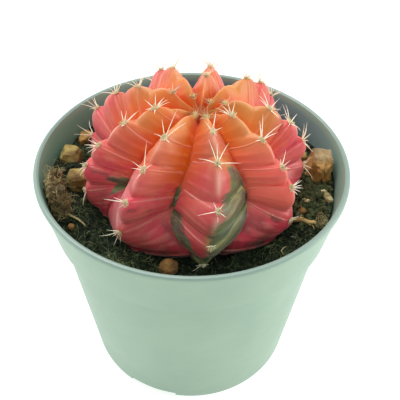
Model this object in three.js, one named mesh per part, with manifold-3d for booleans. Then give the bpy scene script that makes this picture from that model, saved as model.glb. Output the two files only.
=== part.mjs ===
// Potted moon cactus: a round, ribbed and spined cactus in a small tapered plastic pot
// Units are millimetres and degrees. Z is up, and the origin is the middle of the pot's underside.
// Bearings are seen from above, from the front (-Y), with the right (+X) positive.

import * as THREE from "three";
import { mergeVertices } from "three/addons/utils/BufferGeometryUtils.js";
import Module from "manifold-3d";

const wasm = await Module();
wasm.setup();

// Pot
const potHeight = 71.5;
const rimRadius = 42.5;
const collarHeight = 16.8;
const collarFootRadius = 39.6;
const bodyTopRadius = 38.1;
const baseRadius = 32.3;
const wall = 1.1;
const lipHeight = 2;
const lipOverhang = 0.65;
const floorUnderside = 2.2;
const floorThickness = 1.2;
const footWidth = 2.1;
const footNotchBearings = [-21.5, 98.5, 218.5];
const footNotchAngle = 27;
const footNotchHeight = 1.8;
const drainHoleRadius = 2.2;
const drainRingRadius = 21;
const drainHoleCount = 6;
const potSides = 56;

// Clearance kept between pieces that touch
const gap = 0.3;

// Soil: its mean level below the rim, and how it is heaped
const soilDepthBelowRim = 9.5;
const crumbHeight = 0.45;
const soilHeaps = [
  { x: -37, y: -6, lift: 4.4, spread: 10 },
  { x: 37, y: 2, lift: 2.6, spread: 9 },
  { x: -20, y: 33, lift: 1.6, spread: 10 },
  { x: 6, y: -34, lift: -3.4, spread: 12 },
];

// Cactus body
const cactusAxisX = 1.8;
const cactusAxisY = -0.1;
const waistHeight = potHeight + 1.1;
const ribRadius = 31.7;
const crownRise = 19.6;
const underDrop = 20;
const crownDip = 5.9;
const crownDipWidth = 7;
const grooveDepth = 10.5;
const footGrooveShare = 0.3;
const bellyFrom = 30;
const bellyFull = 60;
const narrowFrom = 92;
const footFrom = 84;
const footTo = 124;
const notchDepth = 2.2;
const notchLead = 0.18;
const ridgeRound = 0.04;
const chinRound = 0.1;
const flankBulge = 0.3;
const bandRise = 9;
const leanPivot = 50;
const neckAngle = 172;
const neckRadius = 6.5;
const rootLength = 7;

// The ribs, each as it grew: the bearing of its ridge, how far that bearing turns for each degree
// down the rib, its share of the body's radius, how wide its belly and its foot are beside those of its
// neighbours, and the angle from the crown down to each areole
const ribs = [
  { bearing: 10, lean: -0.1, reach: 1.0, belly: 1.6, foot: 0.22, areoles: [11, 25, 42, 69, 99, 128] },
  { bearing: 49, lean: 0, reach: 0.98, belly: 1, foot: 1.2, areoles: [19, 39, 58, 73, 104, 129] },
  { bearing: 89, lean: 0, reach: 0.91, belly: 1, foot: 1, areoles: [13, 38, 55, 74, 99, 127] },
  { bearing: 135, lean: 0, reach: 0.97, belly: 1, foot: 1, areoles: [7, 35, 52, 75, 101, 128] },
  { bearing: 172, lean: 0, reach: 1.0, belly: 1, foot: 1, areoles: [20, 38, 56, 76, 102, 128] },
  { bearing: 204, lean: 0.03, reach: 1.04, belly: 1, foot: 1, areoles: [8, 34, 56, 78, 104, 129] },
  { bearing: 247, lean: 0.07, reach: 1.03, belly: 1, foot: 1, areoles: [14, 33, 49, 70, 98, 126] },
  { bearing: 291, lean: 0, reach: 1.01, belly: 1, foot: 1, areoles: [22, 39, 58, 75, 100, 127] },
  { bearing: 328, lean: -0.1, reach: 1.03, belly: 1.15, foot: 1.3, areoles: [5, 31, 50, 72, 102, 129] },
];

// Spines: a ring of them leans out of each areole that stands clear of the soil
const spinedAreoles = 5;
const spinesPerAreole = 4;
const spineLength = 5.2;
const youngSpineShare = 0.6;
const youngUntil = 36;
const spineTilt = 0.35;
const spineRadius = 0.42;
const spineRootDepth = 1.3;
const spineClearance = 0.9;

const radians = THREE.MathUtils.degToRad;
const lerp = THREE.MathUtils.lerp;
const smoothstep = THREE.MathUtils.smoothstep;

// Repeatable random numbers from 0 to 1
function seededRandom(seed) {
  let state = seed;
  return () => {
    state = (state * 1664525 + 1013904223) % 4294967296;
    return state / 4294967296;
  };
}

// A closed geometry as a solid that can be joined and cut
function solidFrom(geometry) {
  const bare = geometry.clone();
  bare.deleteAttribute("normal");
  bare.deleteAttribute("uv");
  const merged = mergeVertices(bare, 1e-4);
  const corners = merged.index.array;
  const kept = [];
  for (let i = 0; i < corners.length; i += 3) {
    const [a, b, c] = [corners[i], corners[i + 1], corners[i + 2]];
    if (a !== b && b !== c && c !== a) {
      kept.push(a, b, c);
    }
  }
  const mesh = new wasm.Mesh({
    numProp: 3,
    vertProperties: new Float32Array(merged.getAttribute("position").array),
    triVerts: new Uint32Array(kept),
  });
  return new wasm.Manifold(mesh);
}

// A solid as a geometry that a mesh can show
function geometryFrom(solid) {
  const mesh = solid.getMesh();
  const geometry = new THREE.BufferGeometry();
  geometry.setAttribute("position", new THREE.BufferAttribute(mesh.vertProperties, 3));
  geometry.setIndex(new THREE.BufferAttribute(mesh.triVerts, 1));
  geometry.computeVertexNormals();
  return geometry;
}

// Skins a stack of closed rings, listed from the top down, with a point to close each end.
// Each ring runs anticlockwise as seen from above.
function skinRings(top, rings, bottom) {
  const count = rings[0].length;
  const points = [top, ...rings.flat(), bottom];
  const last = points.length - 1;
  const corner = (ring, step) => 1 + ring * count + (step % count);
  const triangles = [];
  for (let step = 0; step < count; step += 1) {
    triangles.push(0, corner(0, step), corner(0, step + 1));
    for (let ring = 0; ring + 1 < rings.length; ring += 1) {
      const [a, b] = [corner(ring, step), corner(ring, step + 1)];
      const [c, d] = [corner(ring + 1, step), corner(ring + 1, step + 1)];
      triangles.push(a, c, d, a, d, b);
    }
    triangles.push(last, corner(rings.length - 1, step + 1), corner(rings.length - 1, step));
  }
  const geometry = new THREE.BufferGeometry();
  geometry.setAttribute("position", new THREE.Float32BufferAttribute(points.flatMap((p) => p.toArray()), 3));
  geometry.setIndex(triangles);
  geometry.computeVertexNormals();
  return geometry;
}

// A copy of an indexed geometry, grown by a distance along its own normals
function grown(geometry, distance) {
  const copy = mergeVertices(geometry.clone(), 1e-4);
  copy.computeVertexNormals();
  const positions = copy.getAttribute("position");
  const normals = copy.getAttribute("normal");
  for (let i = 0; i < positions.count; i += 1) {
    positions.setXYZ(
      i,
      positions.getX(i) + distance * normals.getX(i),
      positions.getY(i) + distance * normals.getY(i),
      positions.getZ(i) + distance * normals.getZ(i),
    );
  }
  return copy;
}

// A point at a bearing, a distance from an upright axis and a height
function atBearing(bearing, radius, height, axisX = 0, axisY = 0) {
  const angle = radians(bearing);
  return new THREE.Vector3(axisX + radius * Math.sin(angle), axisY - radius * Math.cos(angle), height);
}

// Inside face of the pot, from the floor up to the rim, as radius and height
const floorTop = floorUnderside + floorThickness;
const collarFoot = potHeight - collarHeight;
const collarTopRadius = rimRadius - lipOverhang;
const insideFace = [
  [baseRadius - wall - 0.8, floorTop],
  [baseRadius - wall + 0.2, floorTop + 1.2],
  [bodyTopRadius - wall, collarFoot - 0.8],
  [collarFootRadius - wall, collarFoot + 0.9],
  [collarTopRadius - wall + 0.1, potHeight - 1],
  [rimRadius - 1.4, potHeight - 0.3],
];

function insideRadius(height) {
  const above = insideFace.findIndex(([, level]) => level >= height);
  const next = above < 1 ? 1 : above;
  const [lowRadius, low] = insideFace[next - 1];
  const [highRadius, high] = insideFace[next];
  return lerp(lowRadius, highRadius, (height - low) / (high - low));
}

// The pot: one thin moulding with a stepped collar, a rounded lip, a raised floor and a notched foot
function potGeometry() {
  const outsideFace = [
    [baseRadius - footWidth, 0],
    [baseRadius - 0.2, 0],
    [baseRadius + 0.05, 0.5],
    [bodyTopRadius, collarFoot - 0.2],
    [collarFootRadius - 0.2, collarFoot],
    [collarFootRadius + 0.05, collarFoot + 0.4],
    [collarTopRadius, potHeight - lipHeight - 0.2],
    [rimRadius - 0.15, potHeight - lipHeight + 0.1],
    [rimRadius, potHeight - lipHeight + 0.7],
    [rimRadius, potHeight - 0.55],
    [rimRadius - 0.4, potHeight - 0.08],
    [rimRadius - 0.9, potHeight],
  ];
  const profile = [
    [0, floorUnderside],
    [baseRadius - footWidth - 0.3, floorUnderside],
    ...outsideFace,
    ...insideFace.toReversed(),
    [0, floorTop],
  ];
  const turned = new THREE.LatheGeometry(profile.map(([r, z]) => new THREE.Vector2(r, z)), potSides);
  turned.rotateX(Math.PI / 2);
  let pot = solidFrom(turned);
  for (const bearing of footNotchBearings) {
    pot = pot.subtract(solidFrom(footNotchCutter(bearing)));
  }
  for (const centre of drainCentres()) {
    const drill = new THREE.CylinderGeometry(drainHoleRadius, drainHoleRadius, 4 * floorThickness, 12);
    drill.rotateX(Math.PI / 2);
    drill.translate(centre.x, centre.y, floorUnderside + floorThickness / 2);
    pot = pot.subtract(solidFrom(drill));
  }
  return geometryFrom(pot);
}

// A curved block that cuts one shallow notch in the foot
function footNotchCutter(bearing) {
  const steps = 5;
  const block = new THREE.Shape();
  const edge = (radius, step) => {
    const turn = radians(bearing - 90 + footNotchAngle * (step / steps - 0.5));
    return new THREE.Vector2(radius * Math.cos(turn), radius * Math.sin(turn));
  };
  const inner = [];
  const outer = [];
  for (let step = 0; step <= steps; step += 1) {
    inner.push(edge(baseRadius - footWidth - 1, step));
    outer.push(edge(baseRadius + 1, step));
  }
  block.setFromPoints([...outer, ...inner.reverse()]);
  const cutter = new THREE.ExtrudeGeometry(block, { depth: 2 * footNotchHeight, bevelEnabled: false });
  cutter.translate(0, 0, -footNotchHeight);
  return cutter;
}

// One drain hole in the middle of the floor and a ring of them round it
function drainCentres() {
  const centres = [new THREE.Vector3()];
  for (let i = 0; i < drainHoleCount; i += 1) {
    centres.push(atBearing((i * 360) / drainHoleCount, drainRingRadius, 0));
  }
  return centres;
}

// Height of the soil's surface at a place in the pot
function soilLevel(x, y) {
  let level = potHeight - soilDepthBelowRim;
  for (const heap of soilHeaps) {
    const away = ((x - heap.x) ** 2 + (y - heap.y) ** 2) / (2 * heap.spread ** 2);
    level += heap.lift * Math.exp(-away);
  }
  const coarse = Math.sin(x / 1.9 + 1.3) * Math.sin(y / 2.3);
  const fine = Math.sin(x / 1.2 - y / 1.5);
  return level + crumbHeight * (coarse + 0.6 * fine);
}

// The soil fills the pot from its floor, and its surface is uneven
function soilGeometry() {
  const sides = 48;
  const shares = [0.45, 0.66, 0.76, 0.84, 0.92, 1];
  const bearings = Array.from({ length: sides }, (_, i) => (i * 360) / sides);
  const rings = shares.map((share) => bearings.map((bearing) => {
    const edgeLevel = soilLevel(...atBearing(bearing, 39, 0).toArray().slice(0, 2));
    const radius = share * (insideRadius(edgeLevel) - gap);
    const place = atBearing(bearing, radius, 0);
    place.z = share === 1 ? edgeLevel : soilLevel(place.x, place.y);
    return place;
  }));
  for (const [radius, height] of insideFace.toReversed().slice(2)) {
    const level = Math.max(height, floorTop + gap);
    rings.push(bearings.map((bearing) => atBearing(bearing, radius - gap, level)));
  }
  const top = new THREE.Vector3(0, 0, soilLevel(0, 0));
  const bottom = new THREE.Vector3(0, 0, floorTop + gap);
  return skinRings(top, rings, bottom);
}

// Ridge line of a rib: how far it stands from the axis and how high, at an angle from the crown
function ridge(angle, reach) {
  const turn = Math.cos(radians(angle));
  const upper = turn > 0;
  const share = upper ? Math.sin(radians(angle)) : Math.cbrt(1 - Math.abs(turn) ** 3);
  const radius = ribRadius * reach * share;
  const dip = upper ? crownDip * Math.exp(-((radius / crownDipWidth) ** 2)) : 0;
  const height = waistHeight + (upper ? crownRise : underDrop) * turn - dip;
  return { radius, height };
}

// Direction straight out of the body's rounded outline, as its outward and upward shares
function outward(angle) {
  const rise = angle < 90 ? crownRise : underDrop;
  const out = new THREE.Vector2(Math.sin(radians(angle)) / ribRadius, Math.cos(radians(angle)) / rise);
  return out.normalize();
}

// Angle from the crown at a place down a rib, where whole numbers are its areoles
function angleDown(rib, down) {
  const stops = [0, ...rib.areoles, neckAngle];
  const step = Math.min(Math.floor(down), stops.length - 2);
  return lerp(stops[step], stops[step + 1], down - step);
}

// Each areole sits a little way under a notch, and the rib swells into a chin below it
function chin(down) {
  const share = (down + notchLead) % 1;
  return Math.sin(Math.PI * share ** 0.7) ** 0.8;
}

function ribAt(index) {
  return ribs[(index + ribs.length) % ribs.length];
}

function bearingAt(index, angle) {
  const rib = ribAt(index);
  const laps = Math.floor(index / ribs.length);
  return rib.bearing + 360 * laps + rib.lean * (angle - leanPivot);
}

// How broad a rib is beside its neighbours: even at the crown, then its belly, then its foot
function breadth(rib, angle) {
  const waist = lerp(1, rib.belly, smoothstep(angle, bellyFrom, bellyFull));
  return lerp(waist, rib.foot, smoothstep(angle, narrowFrom, footTo));
}

// How far the groove between two ribs lies from the first one, as a share of the way to the second
function widthShare(rib, neighbour, angle) {
  const own = breadth(rib, angle);
  return own / (own + breadth(neighbour, angle));
}

// A point of the body's skin: across runs from groove (-1) over the ridge (0) to groove (1)
function skin(index, across, down) {
  const rib = ribAt(index);
  const side = across < 0 ? -1 : 1;
  const neighbour = ribAt(index + side);
  const share = Math.abs(across);
  const own = angleDown(rib, down);
  const shared = (own + angleDown(neighbour, down)) / 2;
  const level = lerp(own, shared, share ** 1.5);
  const angle = level - bandRise * share * Math.sin(radians(level)) ** 2;
  const toNeighbour = bearingAt(index + side, angle) - bearingAt(index, angle);
  const bearing = bearingAt(index, angle) + share * toNeighbour * widthShare(rib, neighbour, angle);
  const reach = lerp(rib.reach, (rib.reach + neighbour.reach) / 2, share);

  const swell = chin(down);
  const roundness = ridgeRound + chinRound * swell;
  const slope = (Math.hypot(across, roundness) - roundness) / (Math.hypot(1, roundness) - roundness);
  const flank = slope * (1 + flankBulge - flankBulge * slope);
  const fade = 1 - smoothstep(angle, footTo, neckAngle);
  const footFade = lerp(1, footGrooveShare, smoothstep(angle, footFrom, footTo));
  const depth = grooveDepth * Math.sin(radians(Math.min(angle, 90))) ** 0.8 * footFade * fade;
  const notch = notchDepth * smoothstep(angle, 0, 28) * fade * (1 - swell) * (1 - share) ** 2;

  const crest = ridge(angle, reach);
  const out = outward(angle);
  const sunk = depth * flank + notch;
  const radius = Math.max(crest.radius - sunk * out.x, 0.15);
  return atBearing(bearing, radius, crest.height - sunk * out.y, cactusAxisX, cactusAxisY);
}

// The skin of the body, closed below by a short root collar
function bodyGeometry() {
  const acrossSteps = [-1, -0.7, -0.42, -0.17, 0, 0.17, 0.42, 0.7];
  const tubercleSteps = [-notchLead, 0, 0.17, 0.38, 0.6];
  const downSteps = [0.3, 0.6];
  for (let areole = 1; areole <= ribs[0].areoles.length; areole += 1) {
    downSteps.push(...tubercleSteps.map((step) => areole + step));
  }
  const rings = downSteps.map((down) => ribs.flatMap(
    (_, index) => acrossSteps.map((across) => skin(index, across, down)),
  ));
  const neck = ridge(neckAngle, 1);
  const sides = ribs.length * acrossSteps.length;
  const firstGroove = ribs[0].bearing - 180 / ribs.length;
  const ringAt = (radius, height) => Array.from({ length: sides }, (_, i) => {
    const bearing = firstGroove + (i * 360) / sides;
    return atBearing(bearing, radius, height, cactusAxisX, cactusAxisY);
  });
  rings.push(ringAt(neckRadius, neck.height - 0.6));
  rings.push(ringAt(0.7 * neckRadius, neck.height - rootLength));
  const top = new THREE.Vector3(cactusAxisX, cactusAxisY, ridge(0, 1).height);
  const bottom = new THREE.Vector3(cactusAxisX, cactusAxisY, neck.height - rootLength - 0.5);
  return skinRings(top, rings, bottom);
}

// One spine: a three-sided point from below the skin out to its tip
function spineGeometry(root, tip) {
  const spine = new THREE.ConeGeometry(spineRadius, root.distanceTo(tip), 3);
  const along = tip.clone().sub(root).normalize();
  spine.applyQuaternion(new THREE.Quaternion().setFromUnitVectors(new THREE.Vector3(0, 1, 0), along));
  const middle = root.clone().add(tip).multiplyScalar(0.5);
  spine.translate(middle.x, middle.y, middle.z);
  return spine;
}

// Root and tip of every spine, the tips kept clear of the soil and the pot
function spineLines() {
  const random = seededRandom(41);
  const lines = [];
  ribs.forEach((rib, index) => {
    for (let areole = 1; areole <= spinedAreoles; areole += 1) {
      const seat = skin(index, 0, areole);
      const angle = rib.areoles[areole - 1];
      const bearing = bearingAt(index, angle);
      const out = outward(angle);
      const normal = atBearing(bearing, out.x, out.y);
      const downhill = atBearing(bearing, out.y, -out.x);
      const sideways = atBearing(bearing + 90, 1, 0);
      const facing = normal.clone().addScaledVector(downhill, -spineTilt).normalize();
      for (let i = 0; i < spinesPerAreole; i += 1) {
        const turn = radians(((i + 0.5) * 360) / spinesPerAreole + 24 * (random() - 0.5));
        const lift = radians(28 + 16 * random());
        const age = lerp(youngSpineShare, 1, smoothstep(angle, 0, youngUntil));
        const length = spineLength * age * (0.75 + 0.45 * random());
        const fan = downhill.clone().multiplyScalar(Math.cos(turn)).addScaledVector(sideways, Math.sin(turn));
        const direction = facing.clone().multiplyScalar(Math.sin(lift)).addScaledVector(fan, Math.cos(lift));
        const tip = seat.clone().addScaledVector(direction.normalize(), length);
        tip.z = Math.max(tip.z, soilLevel(tip.x, tip.y) + spineClearance);
        lines.push([seat.clone().addScaledVector(normal, -spineRootDepth), tip]);
      }
    }
  });
  return lines;
}

// Loose pieces on the soil, by place, size (along, across, up), turn and roughness of outline
const grit = [
  { name: "bark_chip_big", x: 36, y: 2.1, size: [7.2, 6.4, 9.8], turn: 20, jag: 0.18, colour: 0xa8703c },
  { name: "tan_stone_1", x: -34.8, y: 7.4, size: [6.2, 5.4, 5.6], turn: 70, jag: 0.14, colour: 0xb89a58 },
  { name: "tan_stone_2", x: -31.3, y: -5.2, size: [5.6, 5, 5.6], turn: 10, jag: 0.14, colour: 0xc2a566 },
  { name: "bark_clump", x: -35.6, y: -11.2, size: [9.6, 4.8, 9], turn: -72, jag: 0.22, colour: 0x6b4b2c },
  { name: "bark_chip_2", x: -32.2, y: 18.4, size: [5.4, 4, 3.4], turn: 40, jag: 0.2, colour: 0x74482a },
  { name: "tan_stone_3", x: 31.4, y: 8.4, size: [3.4, 2.8, 2.8], turn: 0, jag: 0.12, colour: 0xb98f55 },
  { name: "pale_twig", x: 36.8, y: -7, size: [4.8, 2, 2], turn: -65, jag: 0.1, colour: 0xcdb68c },
  { name: "round_pebble", x: -5.6, y: -30.4, size: [4.6, 4.4, 4.4], turn: 0, jag: 0.04, colour: 0xa96a3a },
  { name: "orange_grain_1", x: 29.8, y: -11.8, size: [1.9, 1.7, 1.7], turn: 30, jag: 0.1, colour: 0xc06a30 },
  { name: "orange_grain_2", x: -30.9, y: -19.7, size: [1.8, 1.6, 1.6], turn: -20, jag: 0.1, colour: 0xb9642e },
  { name: "dry_root", x: 29.6, y: -14.9, size: [6.2, 1.6, 1.6], turn: -12, jag: 0.08, colour: 0xb98e58 },
  { name: "bark_chip_3", x: 20.9, y: 29.7, size: [6.2, 4.2, 3.2], turn: -35, jag: 0.2, colour: 0x80502c },
  { name: "tan_stone_4", x: -9.5, y: 36.1, size: [4.2, 3.6, 3.4], turn: 15, jag: 0.12, colour: 0xb39157 },
  { name: "bark_chip_4", x: 6.8, y: 35.8, size: [5, 3, 2.8], turn: 5, jag: 0.2, colour: 0x6a4429 },
];

// One piece of grit: an uneven lump, half sunk in the soil
function gritGeometry(item, seed) {
  const random = seededRandom(seed);
  const lump = mergeVertices(bareCopy(new THREE.IcosahedronGeometry(0.5, 1)), 1e-4);
  const positions = lump.getAttribute("position");
  for (let i = 0; i < positions.count; i += 1) {
    const scale = 1 + item.jag * (2 * random() - 1);
    positions.setXYZ(
      i,
      scale * positions.getX(i) * item.size[0],
      scale * positions.getY(i) * item.size[1],
      scale * positions.getZ(i) * item.size[2],
    );
  }
  lump.rotateZ(radians(item.turn));
  lump.translate(item.x, item.y, soilLevel(item.x, item.y) + 0.18 * item.size[2]);
  lump.computeVertexNormals();
  return lump;
}

function bareCopy(geometry) {
  const copy = geometry.clone();
  copy.deleteAttribute("normal");
  copy.deleteAttribute("uv");
  return copy;
}

function namedMesh(name, geometry, colour, roughness) {
  const material = new THREE.MeshStandardMaterial({ color: colour, roughness, metalness: 0 });
  const mesh = new THREE.Mesh(geometry, material);
  mesh.name = name;
  return mesh;
}

// Assembly
const pottedCactus = new THREE.Group();
pottedCactus.add(namedMesh("pot", potGeometry(), 0xa9c4b4, 0.45));

const body = bodyGeometry();
const spines = spineLines().map(([root, tip]) => solidFrom(spineGeometry(root, tip)));
const cactus = wasm.Manifold.union([solidFrom(body), ...spines]);
pottedCactus.add(namedMesh("cactus", geometryFrom(cactus), 0xd8503c, 0.4));

let soil = solidFrom(soilGeometry()).subtract(solidFrom(grown(body, 1.2 * gap)));
grit.forEach((item, order) => {
  const lump = gritGeometry(item, 100 + order);
  soil = soil.subtract(solidFrom(grown(lump, gap)));
  pottedCactus.add(namedMesh(item.name, lump, item.colour, 0.85));
});
pottedCactus.add(namedMesh("soil", geometryFrom(soil), 0x2b211a, 0.95));

export default pottedCactus;
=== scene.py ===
# %% [markdown]
# # A potted cactus, coloured orange to crimson
# This lesson dresses a small ribbed cactus in a thin plastic pot, with bark and stones on its soil. The
# solids of the part are loaded first, at their true size, and every new piece is set on them. They are
# deselected, because an operator acts on whatever is selected, and the box that they fill is noted. All
# lengths below are given in millimetres and turned into metres.

# %% Load the solids
import math
import random
import bpy
import numpy as np
from mathutils import Matrix, Vector, noise
from mathutils.bvhtree import BVHTree


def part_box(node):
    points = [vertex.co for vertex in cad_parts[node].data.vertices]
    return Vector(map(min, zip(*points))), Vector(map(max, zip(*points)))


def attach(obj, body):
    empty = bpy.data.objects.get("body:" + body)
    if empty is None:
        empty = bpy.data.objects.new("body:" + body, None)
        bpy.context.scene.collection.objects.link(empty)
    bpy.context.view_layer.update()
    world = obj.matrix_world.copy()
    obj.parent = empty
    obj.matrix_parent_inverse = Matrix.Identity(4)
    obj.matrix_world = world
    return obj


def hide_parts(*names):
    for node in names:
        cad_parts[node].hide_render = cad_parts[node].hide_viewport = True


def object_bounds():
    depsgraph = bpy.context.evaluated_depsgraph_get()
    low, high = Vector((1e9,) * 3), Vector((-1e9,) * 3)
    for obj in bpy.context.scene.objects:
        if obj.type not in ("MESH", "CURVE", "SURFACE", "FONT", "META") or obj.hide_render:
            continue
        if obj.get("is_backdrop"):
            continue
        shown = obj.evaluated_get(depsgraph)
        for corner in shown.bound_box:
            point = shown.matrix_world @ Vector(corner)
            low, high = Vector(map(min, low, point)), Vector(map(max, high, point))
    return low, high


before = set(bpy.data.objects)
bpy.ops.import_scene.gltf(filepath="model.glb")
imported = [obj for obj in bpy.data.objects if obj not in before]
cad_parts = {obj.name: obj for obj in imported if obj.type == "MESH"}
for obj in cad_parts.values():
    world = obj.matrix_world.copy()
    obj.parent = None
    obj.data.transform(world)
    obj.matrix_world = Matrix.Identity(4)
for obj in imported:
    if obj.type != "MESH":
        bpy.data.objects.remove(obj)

bpy.ops.object.select_all(action="DESELECT")
solid_box = [list(corner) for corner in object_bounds()]
mm = 0.001
print("solids:", sorted(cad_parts))

# %% [markdown]
# ## The camera
# The photograph looks down on the pot from the front, at about 40 degrees. A camera is three things: where
# it stands, which way it looks, and its lens. This one is stood back from the middle of the rim, and then
# panned, tilted and rolled by small angles, which frames the pot and needs no lens shift.

# %% Stand the camera in front of the pot
rim_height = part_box("pot")[1].z
rim_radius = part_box("pot")[1].x
look_down = math.radians(39.876)
distance = 163.5 * mm
pan = math.radians(0.7615)
tilt = math.radians(-4.1445)
roll = math.radians(0.6934)

backward = Vector((0, -math.cos(look_down), math.sin(look_down)))
stance = Matrix.Rotation(math.pi / 2 - look_down, 4, "X")
aim = Matrix.Rotation(-pan, 4, "Y") @ Matrix.Rotation(tilt, 4, "X") @ Matrix.Rotation(roll, 4, "Z")
lens = bpy.data.cameras.new("camera")
lens.sensor_width = 36
lens.lens = 54
lens.clip_start = 5 * mm
camera = bpy.data.objects.new("camera", lens)
bpy.context.collection.objects.link(camera)
camera.matrix_world = Matrix.Translation(Vector((0, 0, rim_height)) + backward * distance) @ stance @ aim
bpy.context.scene.camera = camera
print("camera at", [round(value / mm, 1) for value in camera.location], "mm")

# %% [markdown]
# ## Helpers for finishes
# A finish is a small tree of nodes that ends in a shader. The class below adds nodes with little typing:
# each method adds one and gives back what comes out of it. Colours are written as a screen shows them,
# from 0 to 255, and turned into the linear values that a shader works with.

# %% Write the helpers
def tint(colour):
    """A screen colour of three numbers, turned linear. Anything else is passed on as it is."""
    if not isinstance(colour, tuple) or len(colour) == 4:
        return colour
    shares = [value / 255 for value in colour]
    return (*[s / 12.92 if s <= 0.04045 else ((s + 0.055) / 1.055) ** 2.4 for s in shares], 1.0)


class Finish:
    """The node tree of a material or of the sky, with its shader and its place in the object."""

    def __init__(self, name, kind=bpy.data.materials, place="Object"):
        self.owner = kind.new(name)
        self.owner.use_nodes = True
        self.tree = self.owner.node_tree
        self.shader = self.tree.nodes.get("Principled BSDF") or self.tree.nodes["Background"]
        self.place = self.add("TexCoord").outputs[place] if place else None

    def fill(self, node, inputs):
        for name, value in inputs.items():
            if isinstance(value, bpy.types.NodeSocket):
                self.tree.links.new(value, node.inputs[name])
            else:
                node.inputs[name].default_value = value

    def add(self, kind, inputs=None, **options):
        node = self.tree.nodes.new("ShaderNode" + kind)
        for option, value in options.items():
            setattr(node, option, value)
        self.fill(node, inputs or {})
        return node

    def mix(self, share, first, second):
        return self.add("Mix", {0: share, 6: tint(first), 7: tint(second)}, data_type="RGBA").outputs[2]

    def ramp(self, value, stops):
        node = self.add("ValToRGB", {"Fac": value})
        points = node.color_ramp.elements
        while len(points) < len(stops):
            points.new(1.0)
        for point, (position, colour) in zip(points, stops.items()):
            point.position = position
            point.color = tint(colour)
        return node.outputs[0]

    def span(self, value, low, high, start=0.0, end=1.0):
        return self.add("MapRange", {0: value, 1: low, 2: high, 3: start, 4: end}).outputs[0]

    def sums(self, operation, first, second=0.0):
        return self.add("Math", {0: first, 1: second}, operation=operation).outputs[0]

    def times(self, first, second):
        return self.sums("MULTIPLY", first, second)

    def noise(self, scale, detail, roughness=0.5, vector=None):
        vector = self.place if vector is None else vector
        inputs = {"Vector": vector, "Scale": scale, "Detail": detail, "Roughness": roughness}
        return self.add("TexNoise", inputs).outputs[0]

    def guide(self, name):
        return self.add("Attribute", attribute_name=name).outputs["Fac"]

    def stretch(self, vector, scale):
        return self.add("Mapping", {"Vector": vector, "Scale": scale}).outputs[0]

    def settle(self, inputs, bump=None):
        """Fill in the shader. A bump is a height, a strength and a depth in millimetres."""
        self.fill(self.shader, inputs)
        if bump:
            height, strength, depth = bump
            dents = self.add("Bump", {"Height": height, "Strength": strength, "Distance": depth * mm})
            self.fill(self.shader, {"Normal": dents.outputs[0]})
        return self.owner


# %% [markdown]
# ## The floor
# The pot stands on a bright white sheet, as in a small photo tent. The sheet is a large disc that is lit
# and also glows a little, so it burns out to white in the picture and throws light up on to the pot.

# %% Lay the sheet
bpy.ops.mesh.primitive_circle_add(vertices=96, radius=2.5, fill_type="NGON", location=(0, 0, 0))
sheet = bpy.context.object
sheet.name = "floor"
sheet.data.materials.append(Finish("white_paper", place=None).settle({
    "Base Color": (0.5, 0.5, 0.5, 1),
    "Roughness": 0.9,
    "Specular IOR Level": 0.1,
    "Emission Color": (0.97, 1.0, 0.97, 1),
    "Emission Strength": 0.72,
}))
sheet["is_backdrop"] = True
bpy.ops.object.select_all(action="DESELECT")

# %% [markdown]
# ## The light
# A tent lights from all round, so the sky does most of the work: it is white at the back and a little
# greyer at the front, which darkens the near side of the pot. A soft key lamp hangs high up, a little to
# the left and behind the plant, and shapes the ribs. Two weaker ones, left and right, lift the flanks.

# %% Hang the lamps
sky = Finish("tent", bpy.data.worlds, "Generated")
to_the_back = sky.add("SeparateXYZ", {0: sky.place}).outputs[1]
sky_stops = {0.08: (0.61, 0.63, 0.62, 1), 0.42: (0.80, 0.83, 0.83, 1), 0.75: (0.98, 1.00, 1.00, 1)}
sky.settle({"Color": sky.ramp(sky.span(to_the_back, -1.0, 1.0), sky_stops)})
bpy.context.scene.world = sky.owner
bpy.context.scene.view_settings.view_transform = "Standard"

for name, stand, size, power in [
    ("key", (-0.18, 0.22, 0.62), 0.34, 2.6),
    ("left", (-0.55, 0.10, 0.22), 0.30, 0.4),
    ("right", (0.56, 0.00, 0.26), 0.30, 1.8),
]:
    light = bpy.data.lights.new(name, "AREA")
    light.size = size
    light.energy = power
    lamp = bpy.data.objects.new(name, light)
    bpy.context.collection.objects.link(lamp)
    lamp.location = stand
    toward = Vector((0, 0, rim_height)) - Vector(stand)
    lamp.rotation_euler = toward.to_track_quat("-Z", "Y").to_euler()
    print("lamp", name, power, "W")

# %% [markdown]
# ## The pot
# A nursery pot is one thin moulding: a tapered wall, a step out to the collar, a rounded lip, a raised
# floor, and a foot ring. A profile could be spun round, or a ring can be drawn up step by step. The
# second way is used here: a circle is extruded and scaled at each corner of the profile, up the outside,
# over the lip and down the inside, as one would model a cup by hand.

# %% Draw up the wall
pot_height = rim_height / mm
rim = rim_radius / mm
collar_foot = pot_height - 16.8
floor_under = 2.2
floor_top = 3.4
base_radius = 32.3
# Corners of the profile, as (radius, height)
inside_face = [
    (30.4, floor_top), (31.4, floor_top + 1.2), (37.0, collar_foot - 0.8), (38.5, collar_foot + 0.9),
    (40.85, pot_height - 1.0), (41.1, pot_height - 0.3),
]
outside_face = [
    (base_radius - 2.1, 0), (base_radius - 0.2, 0), (base_radius + 0.05, 0.5), (base_radius + 0.33, 3.1),
    (38.05, collar_foot - 0.8), (38.45, collar_foot - 0.3), (39.15, collar_foot + 0.1),
    (39.6, collar_foot + 0.6), (rim - 0.65, pot_height - 2.2), (rim - 0.15, pot_height - 1.9),
    (rim, pot_height - 1.3), (rim, pot_height - 0.55), (rim - 0.4, pot_height - 0.08),
    (rim - 0.9, pot_height),
]


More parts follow.
